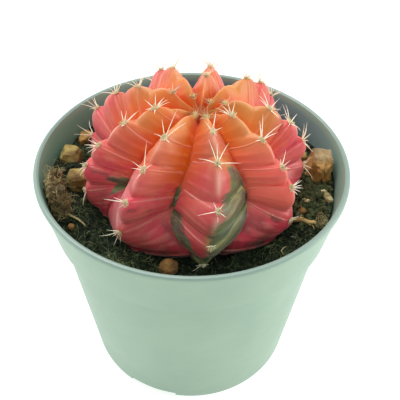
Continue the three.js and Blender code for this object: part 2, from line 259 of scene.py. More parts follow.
def draw_up(profile, sides):
    """A closed turned shape, drawn up from a small disc ring by ring and closed with another disc."""
    radius, height = profile[0]
    bpy.ops.mesh.primitive_circle_add(
        vertices=sides, radius=radius * mm, fill_type="NGON", location=(0, 0, height * mm)
    )
    bpy.ops.object.transform_apply(location=True)
    bpy.ops.object.mode_set(mode="EDIT")
    bpy.ops.mesh.select_mode(type="EDGE")
    bpy.ops.mesh.select_all(action="SELECT")
    bpy.ops.mesh.region_to_loop()
    for next_radius, next_height in profile[1:]:
        rise = (next_height - height) * mm
        bpy.ops.mesh.extrude_region_move(TRANSFORM_OT_translate={"value": (0, 0, rise)})
        grow = next_radius / radius
        bpy.ops.transform.resize(value=(grow, grow, 1), center_override=(0, 0, next_height * mm))
        radius, height = next_radius, next_height
    bpy.ops.mesh.edge_face_add()
    bpy.ops.mesh.select_all(action="SELECT")
    bpy.ops.mesh.normals_make_consistent(inside=False)
    bpy.ops.object.mode_set(mode="OBJECT")
    return bpy.context.object


pot_profile = [(6, floor_under), (base_radius - 2.4, floor_under), *outside_face]
pot_profile += [*reversed(inside_face), (6, floor_top)]
pot = draw_up(pot_profile, 144)
pot.name = "pot_moulding"
print("pot:", len(pot_profile), "rings,", len(pot.data.polygons), "faces")

# %% [markdown]
# ## The pot: holes and notches
# Water leaves through seven holes in the raised floor and three notches in the foot. They could be painted
# dark, but the part is seen from below too, so they are cut right through. Each cutter is a plain solid
# that a Boolean modifier takes away. Places round the axis are given by bearing, from the front.

# %% Cut the drain holes and the foot notches
def at_bearing(bearing, radius, height, middle_x=0.0, middle_y=0.0):
    turn = np.radians(bearing)
    across, along = middle_x + radius * np.sin(turn), middle_y - radius * np.cos(turn)
    return np.stack(np.broadcast_arrays(across, along, height), axis=-1)


def carve(piece, cutter):
    cut = piece.modifiers.new("cut", "BOOLEAN")
    cut.operation = "DIFFERENCE"
    cut.solver = "EXACT"
    cut.object = cutter
    bpy.context.view_layer.objects.active = piece
    bpy.ops.object.modifier_apply(modifier=cut.name)
    bpy.data.objects.remove(cutter)


drain_ring = 21
drain_radius = 2.2
for bearing, reach in [*[(60 * hole, drain_ring) for hole in range(6)], (0, 0)]:
    drain_place = tuple(at_bearing(bearing, reach, floor_under) * mm)
    bpy.ops.mesh.primitive_cylinder_add(
        vertices=24, radius=drain_radius * mm, depth=6 * mm, location=drain_place
    )
    carve(pot, bpy.context.object)

notch_width = 2 * base_radius * math.sin(math.radians(13.5))
notch_height = 1.8
for bearing in (-21.5, 98.5, 218.5):
    notch_place = tuple(at_bearing(bearing, base_radius - 0.6, 0) * mm)
    bpy.ops.mesh.primitive_cube_add(size=1, location=notch_place, rotation=(0, 0, math.radians(bearing)))
    block = bpy.context.object
    block.scale = (notch_width * mm, 6.5 * mm, 2 * notch_height * mm)
    carve(pot, block)
print("pot with holes:", len(pot.data.polygons), "faces")

# %% [markdown]
# ## The pot: its inside
# The inside of the wall is painted darker and bluer towards the back, as painted shade, lighter on the left,
# as painted light, and darker in patches near the peat, so the finish has to know which side of the wall it
# is on. A texture could tell it, but a thin wall leaves little room, so each corner of the mesh carries a
# mark instead. Then the wall is shaded smooth, except at the sharp edges, and the pot takes the place of its
# solid.

# %% Mark the inside and smooth the wall
def inside_radius(height):
    return np.interp(height, [z for _, z in inside_face], [r for r, _ in inside_face])


def points_of(piece):
    flat = np.empty(3 * len(piece.data.vertices))
    piece.data.vertices.foreach_get("co", flat)
    return flat.reshape(-1, 3) / mm


def mark(piece, name, values):
    layer = piece.data.attributes.new(name, "FLOAT", "POINT")
    layer.data.foreach_set("value", np.asarray(values, dtype=np.float32))


def smooth(piece, angle):
    bpy.ops.object.select_all(action="DESELECT")
    piece.select_set(True)
    bpy.context.view_layer.objects.active = piece
    bpy.ops.object.shade_smooth_by_angle(angle=math.radians(angle))
    piece.select_set(False)


def hand_over(piece, slot, *solids):
    """The piece rides on the body and may stand for solids, which it hides. The slot is not used."""
    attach(piece, "root")
    if solids:
        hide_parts(*solids)
    piece.data.calc_loop_triangles()
    print(piece.name, len(piece.data.loop_triangles), "triangles")


pot_points = points_of(pot)
from_axis = np.hypot(pot_points[:, 0], pot_points[:, 1])
is_inside = (pot_points[:, 2] > floor_top - 0.1) & (from_axis < inside_radius(pot_points[:, 2]) + 0.3)
mark(pot, "inside", is_inside)
smooth(pot, 28)
hand_over(pot, "pot_plastic", "pot")

# %% [markdown]
# ## The plastic
# The plastic is a pale grey-green with a satin skin. Its colour is never quite even: the melt leaves faint
# clouds. The top of the lip is painted greyer and bluer, as a painted reflection of the sky. The inside is
# painted darker and bluer towards the back, as painted shade, and lighter and greener on the left, as
# painted light, and it is darker in patches just above the peat. Hair-fine scratches run round the wall
# and change its gloss, and a very low bump gives the orange peel of a moulding. The clouds, the patches, the
# scratches and the bump come from noise, which wraps round a pot without a seam.

# %% Mix the plastic
plastic = Finish("grey_green_plastic")
mix, span, times = plastic.mix, plastic.span, plastic.times
to_right, to_back, height = plastic.add("SeparateXYZ", {0: plastic.place}).outputs
inside = plastic.guide("inside")
outer = plastic.ramp(plastic.noise(45, 4, 0.6), {0.3: (139, 167, 147), 0.7: (150, 177, 155)})
# Painted reflection: the top of the lip is greyer and bluer, as the sky seen in its upward face.
lip_sky_reflection = span(height, (pot_height - 0.7) * mm, (pot_height - 0.25) * mm, 0.0, 0.75)
outer = mix(lip_sky_reflection, outer, (125, 144, 138))
# Painted shade: the inside darkens and turns bluer towards the back.
inner_painted_shade_and_light = plastic.ramp(span(to_back, -20 * mm, 38 * mm), {0.0: (142, 172, 154), 1.0: (106, 134, 142)})
# Painted light: the inside is lighter and greener on the left.
inner_painted_shade_and_light = mix(span(to_right, -12 * mm, -34 * mm), inner_painted_shade_and_light, (124, 166, 146))
below_lip = span(height, (pot_height - 0.6) * mm, (pot_height - 2.6) * mm)
colour = mix(times(inside, below_lip), outer, inner_painted_shade_and_light)
# The inside is darkened in noisy patches, most just above the peat.
dark_patches = times(inside, span(plastic.noise(520, 5, 0.7), 0.2, 0.75, 0.05, 0.45))
near_soil = span(height, (pot_height - 2.5) * mm, (pot_height - 10.5) * mm)
colour = mix(times(dark_patches, near_soil), colour, (72, 78, 66))
scratches = plastic.noise(260, 3, vector=plastic.stretch(plastic.place, (1, 1, 14)))
pot.data.materials.clear()
pot.data.materials.append(plastic.settle(
    {"Base Color": colour, "Roughness": span(scratches, 0.3, 0.7, 0.38, 0.5)},
    (plastic.noise(1400, 2), 0.12, 0.05),
))
print("plastic nodes:", len(plastic.tree.nodes))

# %% [markdown]
# ## The cactus: its numbers
# The body is one plant that grew nine ribs. Each rib is a row of swellings, and each swelling carries an
# areole, the woolly pad that its spines stand on. The solid of the cactus is made by a formula from the
# few numbers below. The fine body has to fit over that solid, so the same numbers are used again here, in
# millimetres and degrees.

# %% Set down the ribs
axis_x = 1.8
axis_y = -0.1
waist_height = pot_height + 1.1
rib_radius = 31.7
crown_rise = 19.6
under_drop = 20
crown_dip = 5.9
crown_dip_width = 7
groove_depth = 10.5
foot_groove_share = 0.3
belly_from, belly_full = 30, 60
narrow_from = 92
foot_from, foot_to = 84, 124
notch_depth = 2.2
notch_lead = 0.18
crown_notch_lead = 0.34
ridge_round = 0.04
chin_round = 0.07
flank_bulge = 0.3
band_rise = 9
lean_pivot = 50
neck_angle = 172

# Bearing of the ridge, its lean, its reach, its width at the belly and the foot, and the angle down to
# each areole
ribs = [
    (10, -0.1, 1.00, 1.6, 0.22, (11, 25, 42, 69, 99, 128)),
    (49, 0.0, 0.98, 1.0, 1.2, (19, 39, 58, 73, 104, 129)),
    (89, 0.0, 0.91, 1.0, 1.0, (13, 38, 55, 74, 99, 127)),
    (135, 0.0, 0.97, 1.0, 1.0, (7, 35, 52, 75, 101, 128)),
    (172, 0.0, 1.00, 1.0, 1.0, (20, 38, 56, 76, 102, 128)),
    (204, 0.03, 1.04, 1.0, 1.0, (8, 34, 56, 78, 104, 129)),
    (247, 0.07, 1.03, 1.0, 1.0, (14, 33, 49, 70, 98, 126)),
    (291, 0.0, 1.01, 1.0, 1.0, (22, 39, 58, 75, 100, 127)),
    (328, -0.1, 1.03, 1.15, 1.3, (5, 31, 50, 72, 102, 129)),
]
areole_count = 6


def lerp(first, second, share):
    return first + (second - first) * share


def smoothstep(value, low, high):
    share = np.clip((value - low) / (high - low), 0, 1)
    return share * share * (3 - 2 * share)


# %% [markdown]
# ## The cactus: its skin as a formula
# A plant like this could be sculpted, but then it would drift away from the solid under it. So its skin
# is a grid that a formula places: one way runs down the ribs from the crown to the soil, the other way
# from groove to ridge to groove. The ridge line is a flat dome above the waist and a squarer bowl below
# it, the grooves are cut in from it, and each swelling pushes out under its areole.

# %% Write the skin's formula
def ridge(angle, reach):
    turn = np.cos(np.radians(angle))
    upper = turn > 0
    share = np.where(upper, np.sin(np.radians(angle)), np.cbrt(1 - np.abs(turn) ** 3))
    radius = rib_radius * reach * share
    dip = np.where(upper, crown_dip * np.exp(-((radius / crown_dip_width) ** 2)), 0)
    return radius, waist_height + np.where(upper, crown_rise, under_drop) * turn - dip


def outward(angle):
    rise = np.where(angle < 90, crown_rise, under_drop)
    out, up = np.sin(np.radians(angle)) / rib_radius, np.cos(np.radians(angle)) / rise
    length = np.hypot(out, up)
    return out / length, up / length


def angle_down(rib, down):
    stops = (0, *ribs[rib % len(ribs)][5], neck_angle)
    return np.interp(down, range(len(stops)), stops)


def bearing_at(rib, angle):
    bearing, lean = ribs[rib % len(ribs)][:2]
    return bearing + 360 * (rib // len(ribs)) + lean * (angle - lean_pivot)


def breadth(rib, angle):
    belly, foot = ribs[rib % len(ribs)][3:5]
    waist = lerp(1, belly, smoothstep(angle, belly_from, belly_full))
    return lerp(waist, foot, smoothstep(angle, narrow_from, foot_to))


def skin(rib, across, down):
    """Points of one rib's skin, for arrays of places across (-1 to 1) and down (0 at the crown)."""
    neighbour = rib + (-1 if np.mean(across) < 0 else 1)
    share = np.abs(across)
    own_level, next_level = angle_down(rib, down), angle_down(neighbour, down)
    level = lerp(own_level, (own_level + next_level) / 2, share ** 1.5)
    angle = level - band_rise * share * np.sin(np.radians(level)) ** 2
    width_share = breadth(rib, angle) / (breadth(rib, angle) + breadth(neighbour, angle))
    bearing = bearing_at(rib, angle)
    bearing = bearing + share * (bearing_at(neighbour, angle) - bearing) * width_share
    own_reach, next_reach = ribs[rib % len(ribs)][2], ribs[neighbour % len(ribs)][2]
    reach = lerp(own_reach, (own_reach + next_reach) / 2, share)

    lead = lerp(crown_notch_lead, notch_lead, smoothstep(angle, 20, 60))
    chin = np.sin(math.pi * ((down + lead) % 1) ** 0.7) ** 0.8
    roundness = ridge_round + chin_round * chin
    slope = (np.hypot(across, roundness) - roundness) / (np.hypot(1, roundness) - roundness)
    flank = slope * (1 + flank_bulge - flank_bulge * slope)
    fade = 1 - smoothstep(angle, foot_to, neck_angle)
    foot_fade = lerp(1, foot_groove_share, smoothstep(angle, foot_from, foot_to))
    depth = groove_depth * np.sin(np.radians(np.minimum(angle, 90))) ** 0.65 * foot_fade * fade
    notch = notch_depth * smoothstep(angle, 0, 28) * fade * (1 - chin) * (1 - share) ** 2.4

    radius, height = ridge(angle, reach)
    out, up = outward(angle)
    sunk = depth * flank + notch
    return at_bearing(bearing, np.maximum(radius - sunk * out, 0.15), height - sunk * up, axis_x, axis_y)


# %% [markdown]
# ## The cactus: its grid
# The grid has 180 rows and 22 columns in each flank. They are crowded where the ridge, the groove and the
# welts beside the areoles are, so that few faces are enough. The rows climb a little on their way to the
# groove, and on some ribs clearly, as the welts of the real plant do.

# %% Lay out the grid
def crowded(count, crowd):
    even = np.arange(count) / count
    return even - crowd * np.sin(2 * np.pi * even) / (2 * np.pi)


row_steps = crowded(30, 0.7)
flank_steps = crowded(22, 0.62)
down_rows = np.concatenate([
    [0.05, 0.12], 0.2 + 0.8 * np.arange(1, 20) / 20,
    *[areole + row_steps for areole in range(1, areole_count)], areole_count + np.arange(9) / 10,
])

# How far the rows climb on the way to the groove, left and right of the ridge, in areole steps
row_climb = {0: (0.55, 0.42), 4: (0.2, 0.1), 8: (0.05, 0.12), 1: (0.16, 0.05)}


def down_at(rib, across, row):
    left, right = row_climb.get(rib, (0.05, 0.05))
    steep = smoothstep(row, 1.6, 2.6) * (1 - smoothstep(row, 4.1, 4.9))
    share = np.abs(across)
    return row - np.where(across < 0, left, right) * steep * share ** 1.2 * (1 - smoothstep(share, 0.8, 1))


def whole_grid(value_of):
    """Columns of all the ribs side by side, from value_of(rib, across, row)."""
    columns = []
    for rib in range(len(ribs)):
        for side in (-1, 1):
            steps = flank_steps if side > 0 else flank_steps - 1
            across, row = np.meshgrid(steps, down_rows)
            columns.append(value_of(rib, np.where(across == 0, side * 1e-9, across), row))
    return np.concatenate(columns, axis=1)


grid = whole_grid(lambda rib, across, row: skin(rib, across, down_at(rib, across, row)))
grid_share = whole_grid(lambda rib, across, row: np.abs(across))
grid_row = whole_grid(lambda rib, across, row: row)
grid_angle = whole_grid(lambda rib, across, row: angle_down(rib, row))
print("skin grid:", grid.shape[0], "rows of", grid.shape[1])

# %% [markdown]
# ## The cactus: its fine relief
# A pale welt runs from each areole across both flanks and up into the groove, and the flesh swells like a
# cushion between two welts. They could be a bump in the finish, but then the outline would stay bare. So
# they are lifted out of the grid along its own normals, because the flanks face sideways, and a shift
# outwards would only slide along them.

# %% Grow the body
def grid_normals(points):
    along = np.gradient(points, axis=0)
    wrapped = np.concatenate([points[:, -1:], points, points[:, :1]], axis=1)
    normal = np.cross(along, (wrapped[:, 2:] - wrapped[:, :-2]) / 2)
    return normal / np.maximum(np.linalg.norm(normal, axis=2, keepdims=True), 1e-9)


def near_band(place, width):
    """1 on the rows at a place between two areoles, fading over a width, both in areole steps."""
    away = (grid_row - place + 0.5) % 1 - 0.5
    return np.exp(-((away / width) ** 2))


on_flank = smoothstep(grid_share, 0.04, 0.2) * (1 - smoothstep(grid_share, 0.85, 1))
grown_up = smoothstep(grid_angle, 10, 34)
flank_bands = on_flank * grown_up
welt = near_band(0, 0.02) * flank_bands
wrinkle = (near_band(0.36, 0.03) + near_band(0.68, 0.03)) * flank_bands
wrinkle = wrinkle + near_band(0.52, 0.06) * on_flank * smoothstep(grid_row, 4.0, 4.6)
cushion = np.sin(np.pi * (grid_row % 1) ** 0.8) * flank_bands
body_grid = grid + grid_normals(grid) * (0.26 * welt + 0.2 * wrinkle + 0.3 * cushion)[..., None]


def mesh_piece(name, corners, faces):
    data = bpy.data.meshes.new(name)
    data.from_pydata((corners * mm).tolist(), [], faces)
    data.update()
    made = bpy.data.objects.new(name, data)
    bpy.context.collection.objects.link(made)
    return made


def closed_grid(name, points, top, bottom):
    """A smooth mesh from rings of points, closed with a fan at each end."""
    row_count, column_count = points.shape[:2]
    corners = np.concatenate([points.reshape(-1, 3), [top, bottom]])
    faces = []
    for row in range(row_count - 1):
        for column in range(column_count):
            after = (column + 1) % column_count
            upper, lower = row * column_count, (row + 1) * column_count
            faces.append((upper + column, lower + column, lower + after, upper + after))
    last = (row_count - 1) * column_count
    for column in range(column_count):
        after = (column + 1) % column_count
        faces.append((len(corners) - 2, column, after))
        faces.append((len(corners) - 1, last + after, last + column))
    made = mesh_piece(name, corners, faces)
    made.data.shade_smooth()
    return made


crown_point = (axis_x, axis_y, float(ridge(np.array(0.0), 1)[1]))
neck = float(ridge(np.array(float(neck_angle)), 1)[1])
neck_point = (axis_x, axis_y, neck - 7.5)
collar_bearings = bearing_at(0, 0) - 20 + 360 * np.arange(grid.shape[1]) / grid.shape[1]
collar_rings = np.stack([
    at_bearing(collar_bearings, radius, neck - drop, axis_x, axis_y)
    for radius, drop in ((6.5, 0.6), (4.6, 7))
])
body = closed_grid("cactus_body", np.concatenate([body_grid, collar_rings]), crown_point, neck_point)
hand_over(body, "cactus_flesh", "cactus")

# %% [markdown]
# ## The cactus: where its colours go
# A colour form has no leaf green of its own. It is orange at the crown, coral on the shoulders and crimson
# low down, and darkens to wine red near the soil, partly its own colour and partly painted shade. Here and
# there a patch of grey-green has come back. Such places are listed, each by its rib, its middle across and
# down, its half width and half length, and its strength. The same lists hold olive tints, dark spots, and
# places of painted shade, painted light and painted reflection.
# Across is in shares of the flank, down in areole steps. All of it is stored on the mesh as attributes,
# so the pattern follows the ribs.

# %% Store the colour guides
places_of = {
    "green": [
        (0, 0.75, 3.35, 0.45, 0.46, 1.0), (0, 0.62, 4.15, 0.52, 0.55, 1.0), (0, 0.52, 4.75, 0.56, 0.6, 1.0),
        (0, 0.55, 5.3, 0.6, 0.6, 1.0), (0, -0.96, 4.1, 0.05, 0.7, 0.9), (0, -0.78, 5.1, 0.15, 0.46, 1.0),
        (0, -0.62, 5.5, 0.24, 0.32, 1.0), (0, 0.0, 5.95, 1.0, 0.3, 0.8), (8, 0.97, 3.95, 0.05, 0.5, 0.9),
        (8, 0.97, 4.5, 0.1, 0.3, 0.8), (1, -0.98, 4.5, 0.05, 0.6, 0.7), (7, 0.87, 4.58, 0.17, 0.52, 1.2),
        (7, 0.66, 4.3, 0.16, 0.2, 0.8), (7, 0.84, 4.98, 0.15, 0.28, 1.0), (4, 0.6, 4.3, 0.36, 0.5, 0.9),
        (3, -0.5, 4.7, 0.3, 0.4, 0.8), (5, -0.8, 5.0, 0.25, 0.5, 0.8),
    ],
    "olive": [
        (8, 0.05, 1.35, 0.5, 0.55, 0.3), (0, 0.1, 1.2, 0.6, 0.4, 0.28), (7, 0.1, 1.3, 0.5, 0.45, 0.2),
        (6, 0.0, 1.7, 0.4, 0.5, 0.25), (5, 0.1, 1.5, 0.4, 0.5, 0.2), (1, -0.5, 1.6, 0.4, 0.6, 0.3),
        (0, 0.3, 2.8, 0.4, 0.3, 0.45), (0, 0.05, 4.93, 0.13, 0.13, 0.8), (3, 0.1, 1.6, 0.6, 0.6, 0.4),
        (2, 0.0, 1.7, 0.9, 0.8, 0.45), (1, 0.3, 1.6, 0.6, 0.7, 0.4),
    ],
    # Painted shade: the front rib and the foot of the rib left of it are darkened, as where less light falls.
    "deep": [
        (0, -0.35, 3.5, 0.6, 1.7, 0.6), (0, 0.3, 2.5, 0.4, 0.8, 0.5), (8, 0.0, 5.2, 0.6, 0.4, 0.45),
    ],
    # Painted light: the left flank of the rib right of the front one is lightened, as where more light falls.
    "bright": [
        (1, -0.5, 2.9, 0.45, 0.95, 0.65), (1, -0.45, 4.1, 0.5, 0.65, 0.82), (1, 0.2, 3.8, 0.5, 0.6, 0.3),
    ],
    # Painted reflection: a pale mauve sheen, as of the sky, on the left flank of the rib left of the front
    # one.
    "mauve": [
        (8, -0.34, 4.45, 0.26, 0.7, 0.75), (8, -0.26, 3.5, 0.16, 0.4, 0.5), (8, -0.55, 5.1, 0.3, 0.3, 0.5),
    ],
    # Dark spots on the skin; those low on the front rib and on the rib right of it are painted shade near the
    # soil.
    "spot": [
        (8, 0.18, 4.22, 0.09, 0.09, 0.8), (8, 0.45, 4.36, 0.12, 0.08, 0.8), (8, 0.88, 3.55, 0.08, 0.12, 0.9),
        (1, -0.36, 5.05, 0.12, 0.1, 1.0), (7, 0.68, 4.32, 0.26, 0.13, 1.0), (7, 0.34, 4.13, 0.22, 0.06, 0.8),
        (0, -0.78, 5.0, 0.14, 0.44, 1.2), (0, 0.74, 3.22, 0.26, 0.3, 0.9), (8, 0.97, 3.95, 0.06, 0.5, 0.7),
        (5, 0.4, 4.4, 0.12, 0.1, 0.8), (0, -0.35, 5.55, 0.3, 0.3, 0.6), (0, -0.66, 5.25, 0.15, 0.3, 1.1),
        (0, -0.75, 5.45, 0.25, 0.3, 0.7),
    ],
}


def strength_of(patches):
    def strength_at(rib, across, row):
        down = down_at(rib, across, row)
        strength = np.zeros(across.shape)
        for patch_rib, middle_across, middle_down, half_across, half_down, power in patches:
            if patch_rib == rib:
                off_across = (across - middle_across) / half_across
                off_down = (down - middle_down) / half_down
                near = np.exp(-0.7 * (off_across ** 4 + off_down ** 4))
                strength = np.maximum(strength, power * near)
        return strength
    return whole_grid(strength_at)


def store(name, values, end=0.0):
    """Mark the corners of the body. Those of the collar and the two poles get the end value."""
    extra = 2 * grid.shape[1] + 2
    mark(body, name, np.concatenate([values.ravel(), np.full(extra, end)]))


# Painted highlight along the crests and the young ridges at the crown, with a little real wax bloom.
crest_highlight = np.exp(-((grid_share / 0.06) ** 2)) * np.sin(np.pi * ((grid_row + 0.1) % 1)) ** 2 * grown_up
near_crown = smoothstep(grid_angle, 6, 14) * (1 - smoothstep(grid_angle, 28, 48))
crown_highlight = np.exp(-((grid_share / 0.1) ** 2)) * near_crown
store("descent", grid_angle / 130, 1.0)
store("flank", grid_share, 1.0)
store("welt", np.maximum(welt, 0.8 * near_band(0, 0.06) * flank_bands))
store("wrinkle", wrinkle)
store("crest_highlight", np.maximum(crest_highlight, 0.8 * crown_highlight))
store("row", grid_row, 6.0)
store("across", whole_grid(lambda rib, across, row: across + 3 * rib))
for name, patches in places_of.items():
    store(name, strength_of(patches))
print("guides:", len(body.data.attributes))

# %% [markdown]
# ## The flesh
# The skin is waxy: smooth, with a soft gloss and a faint bloom that a little sheen gives. Light goes a
# little way into the flesh, which is subsurface scattering. The colour starts as two ramps down the body,
# one for the ridges and one for the grooves. A crimson blush, dark and pale streaks, the listed places, the
# welts and the tiny pale pores are then laid over it one by one, like thin paint. Noise breaks every edge,
# because nothing on a plant ends in a line.

# %% Mix the flesh
flesh = Finish("cactus_flesh")
mix, span, times, guide = flesh.mix, flesh.span, flesh.times, flesh.guide
drift = flesh.noise(160, 4, 0.55)
grain = flesh.noise(900, 5, 0.7)
descent = flesh.sums("ADD", guide("descent"), span(drift, 0.25, 0.75, -0.07, 0.07))
low_down = span(descent, 0.25, 0.55)
# Painted shade: the darkest stops of both ramps, near the soil; the crimson above them is the plant's colour.
ridge_colour = flesh.ramp(descent, {
    0.03: (192, 146, 74), 0.10: (222, 126, 56), 0.22: (206, 116, 64), 0.36: (202, 98, 76),
    0.52: (204, 84, 82), 0.72: (206, 86, 86), 0.88: (164, 42, 52), 0.98: (88, 28, 31),
})
groove_colour = flesh.ramp(descent, {
    0.05: (206, 78, 16), 0.25: (216, 96, 10), 0.42: (206, 84, 38), 0.58: (206, 94, 78),
    0.76: (204, 92, 86), 0.90: (140, 44, 49), 0.98: (72, 28, 29),
})
along_rows = flesh.add("CombineXYZ", {0: guide("row"), 1: guide("across")}).outputs[0]
streaks = flesh.noise(1, 3, vector=flesh.stretch(along_rows, (4.6, 1.7, 1.0)))
row_place = flesh.sums("ADD", guide("row"), span(drift, 0.3, 0.7, -0.08, 0.08))
green_tone = flesh.ramp(flesh.sums("FRACT", row_place), {
    0.00: (164, 166, 110), 0.12: (122, 130, 84), 0.24: (96, 100, 78), 0.46: (88, 106, 70),
    0.64: (86, 122, 68), 0.84: (68, 90, 58), 0.95: (100, 122, 70), 1.00: (164, 166, 110),
})
green_tone = mix(span(streaks, 0.42, 0.66, 0.0, 0.75), green_tone, (62, 66, 52))
green_tone = mix(span(streaks, 0.44, 0.3, 0.0, 0.5), green_tone, (160, 164, 112))
green_edge = times(guide("green"), span(grain, 0.2, 0.8, 0.6, 1.5))
green_edge = times(green_edge, span(streaks, 0.3, 0.7, 0.75, 1.35))
blush = times(span(flesh.noise(250, 2), 0.44, 0.62, 0.0, 0.7), low_down)
spot_and_shade_edge = times(guide("spot"), span(grain, 0.3, 0.7, 0.3, 1.5))
pores = flesh.add("TexVoronoi", {"Vector": flesh.place, "Scale": 1100, "Randomness": 1}).outputs["Distance"]

# Each coat is how much of it shows, and its colour
colour = mix(span(guide("flank"), 0.1, 0.7), ridge_colour, groove_colour)
for share, coat in [
    (blush, (204, 44, 72)),
    (span(streaks, 0.5, 0.72, 0.0, 0.34), mix(low_down, (196, 84, 30), (150, 44, 52))),
    (span(streaks, 0.46, 0.3, 0.0, 0.36), mix(low_down, (230, 150, 96), (222, 134, 124))),
    # Painted shade on the front rib and low on its left neighbour
    (guide("deep"), (168, 66, 58)),
    # Painted light on a flank of the rib right of the front one
    (guide("bright"), (250, 112, 92)),
    # Painted reflection on a flank of the rib left of the front one
    (guide("mauve"), (180, 122, 124)),
    (span(times(guide("welt"), span(streaks, 0.3, 0.6)), 0.05, 0.9, 0.0, 0.42), (242, 166, 152)),
    (span(times(guide("wrinkle"), span(streaks, 0.35, 0.6)), 0.1, 0.8, 0.0, 0.22), (236, 150, 130)),
    # Painted highlight on the crests, with a little wax bloom
    (times(guide("crest_highlight"), span(drift, 0.4, 0.6, 0.15, 0.6)), (234, 182, 162)),
    (times(guide("olive"), span(drift, 0.3, 0.6, 0.4, 1.2)), (200, 148, 64)),
    (span(green_edge, 0.3, 0.75, 0.0, 0.96), green_tone),
    # Dark spots, partly painted shade near the soil
    (span(spot_and_shade_edge, 0.35, 0.9, 0.0, 0.7), (84, 52, 48)),
    (span(pores, 0.1, 0.03, 0.0, 0.25), (250, 214, 196)),
]:
    colour = mix(share, colour, coat)
body.data.materials.append(flesh.settle({
    "Base Color": colour,
    "Roughness": span(grain, 0.3, 0.7, 0.34, 0.5),
    "Specular IOR Level": 0.36,
    "Sheen Weight": 0.16,
    "Sheen Roughness": 0.4,
    "Sheen Tint": (1.0, 0.82, 0.78, 1),
    "Subsurface Weight": 0.12,
    "Subsurface Radius": (1.0, 0.35, 0.2),
    "Subsurface Scale": 1.6 * mm,
}, (grain, 0.22, 0.12)))
print("flesh nodes:", len(flesh.tree.nodes))

# %% [markdown]
# ## Strands
# Spines, wool, roots and straws are all thin round strands that narrow to a tip. A tube could be bent for
# each, but there are thousands. A curve is quicker: it gets a round bevel, a radius at each of its points,
# and is then turned into a mesh.

# %% Draw strands
def strands(name, lines, sides=1):
    """A mesh of tapering round strands, from lists of (point, radius) in millimetres."""
    curve = bpy.data.curves.new(name, "CURVE")
    curve.dimensions = "3D"
    curve.bevel_depth = mm
    curve.bevel_resolution = sides
    curve.use_fill_caps = True
    for line in lines:
        spline = curve.splines.new("POLY")
        spline.points.add(len(line) - 1)
        for point, (place, radius) in zip(spline.points, line):
            point.co = (*(Vector(place) * mm), 1)
            point.radius = radius
    drawn = bpy.data.objects.new(name, curve)
    bpy.context.collection.objects.link(drawn)
    bpy.ops.object.select_all(action="DESELECT")
    drawn.select_set(True)
    bpy.context.view_layer.objects.active = drawn
    bpy.ops.object.convert(target="MESH")
    made = bpy.context.object
    made.name = name
    made.select_set(False)
    return made


def areole_seat(rib, areole):
    """Place of an areole, the directions outward, downhill and sideways there, and its angle down."""
    angle = ribs[rib][5][areole - 1]
    bearing = bearing_at(rib, angle)
    seat = skin(rib, np.array(1e-9), np.array(float(areole)))
    out, up = outward(np.array(float(angle)))
    normal, downhill = at_bearing(bearing, out, up), at_bearing(bearing, up, -out)
    sideways = at_bearing(bearing + 90, 1.0, 0.0)
    return Vector(seat), Vector(normal), Vector(downhill), Vector(sideways), angle


# %% [markdown]
# ## Spines
# Each areole carries three to seven slender spines, cream coloured, a little bowed and lying low over the
# ribs. The fan of an areole is a short list of turns, measured from straight downhill. The fans that face
# the front follow the photograph, the others are drawn with a fixed seed. Where the plant still grows,
# at the crown, three short spines more lean in over the middle from each rib.

# %% Grow the spines
draw = random.Random(12)
common_fan = [(4, 3.2), (62, 5.2), (112, 5.4), (158, 4.4), (202, 4.4), (250, 5.4), (300, 5.0)]

# Fans of the areoles that face the front, as (turn from downhill, length), by rib and areole
front_fans = {
    (0, 2): [(155, 4.6), (95, 2.6), (211, 3.0), (20, 2.0)],
    (0, 3): [(270, 4.6), (204, 5.4), (170, 4.2), (131, 5.3), (70, 5.2), (2, 3.0)],
    (0, 4): [(270, 5.8), (200, 2.4), (140, 2.2), (48, 2.6), (350, 3.2)],
    (0, 5): [(200, 2.2), (150, 2.5), (232, 1.8)],
    (0, 6): [(255, 3.0), (300, 2.2), (20, 1.6), (60, 1.8)],
    (8, 2): [(226, 4.5), (182, 5.8), (141, 5.3), (64, 2.8), (290, 2.4)],
    (8, 3): [(199, 5.6), (268, 3.2), (306, 3.0), (350, 2.9), (135, 2.4)],
    (8, 4): [(292, 5.2), (281, 5.0), (262, 3.2), (322, 2.4)],
    (7, 2): [(264, 4.2), (176, 5.2), (168, 4.6), (235, 3.4), (70, 3.0)],
    (1, 2): [(137, 5.3), (150, 4.4), (84, 6.3), (60, 5.0), (262, 2.0)],
    (1, 3): [(138, 4.2), (92, 2.6), (180, 2.0), (30, 2.4)],
    (1, 4): [(4, 2.6), (20, 3.0), (36, 3.2), (52, 3.3), (68, 3.2), (84, 3.0), (102, 2.6)],
    (1, 5): [(70, 2.4), (96, 2.2), (128, 2.0)],
    (7, 3): [(286, 2.8), (304, 3.4), (322, 3.8), (340, 3.9), (358, 3.6), (20, 2.8)],
    (7, 4): [(346, 4.2), (12, 3.4), (306, 2.8), (46, 2.2)],
    (7, 5): [(16, 3.8), (44, 4.4), (350, 2.6)],
    (8, 5): [(303, 7.4), (286, 3.4), (346, 6.8), (12, 3.4), (322, 4.4)],
}


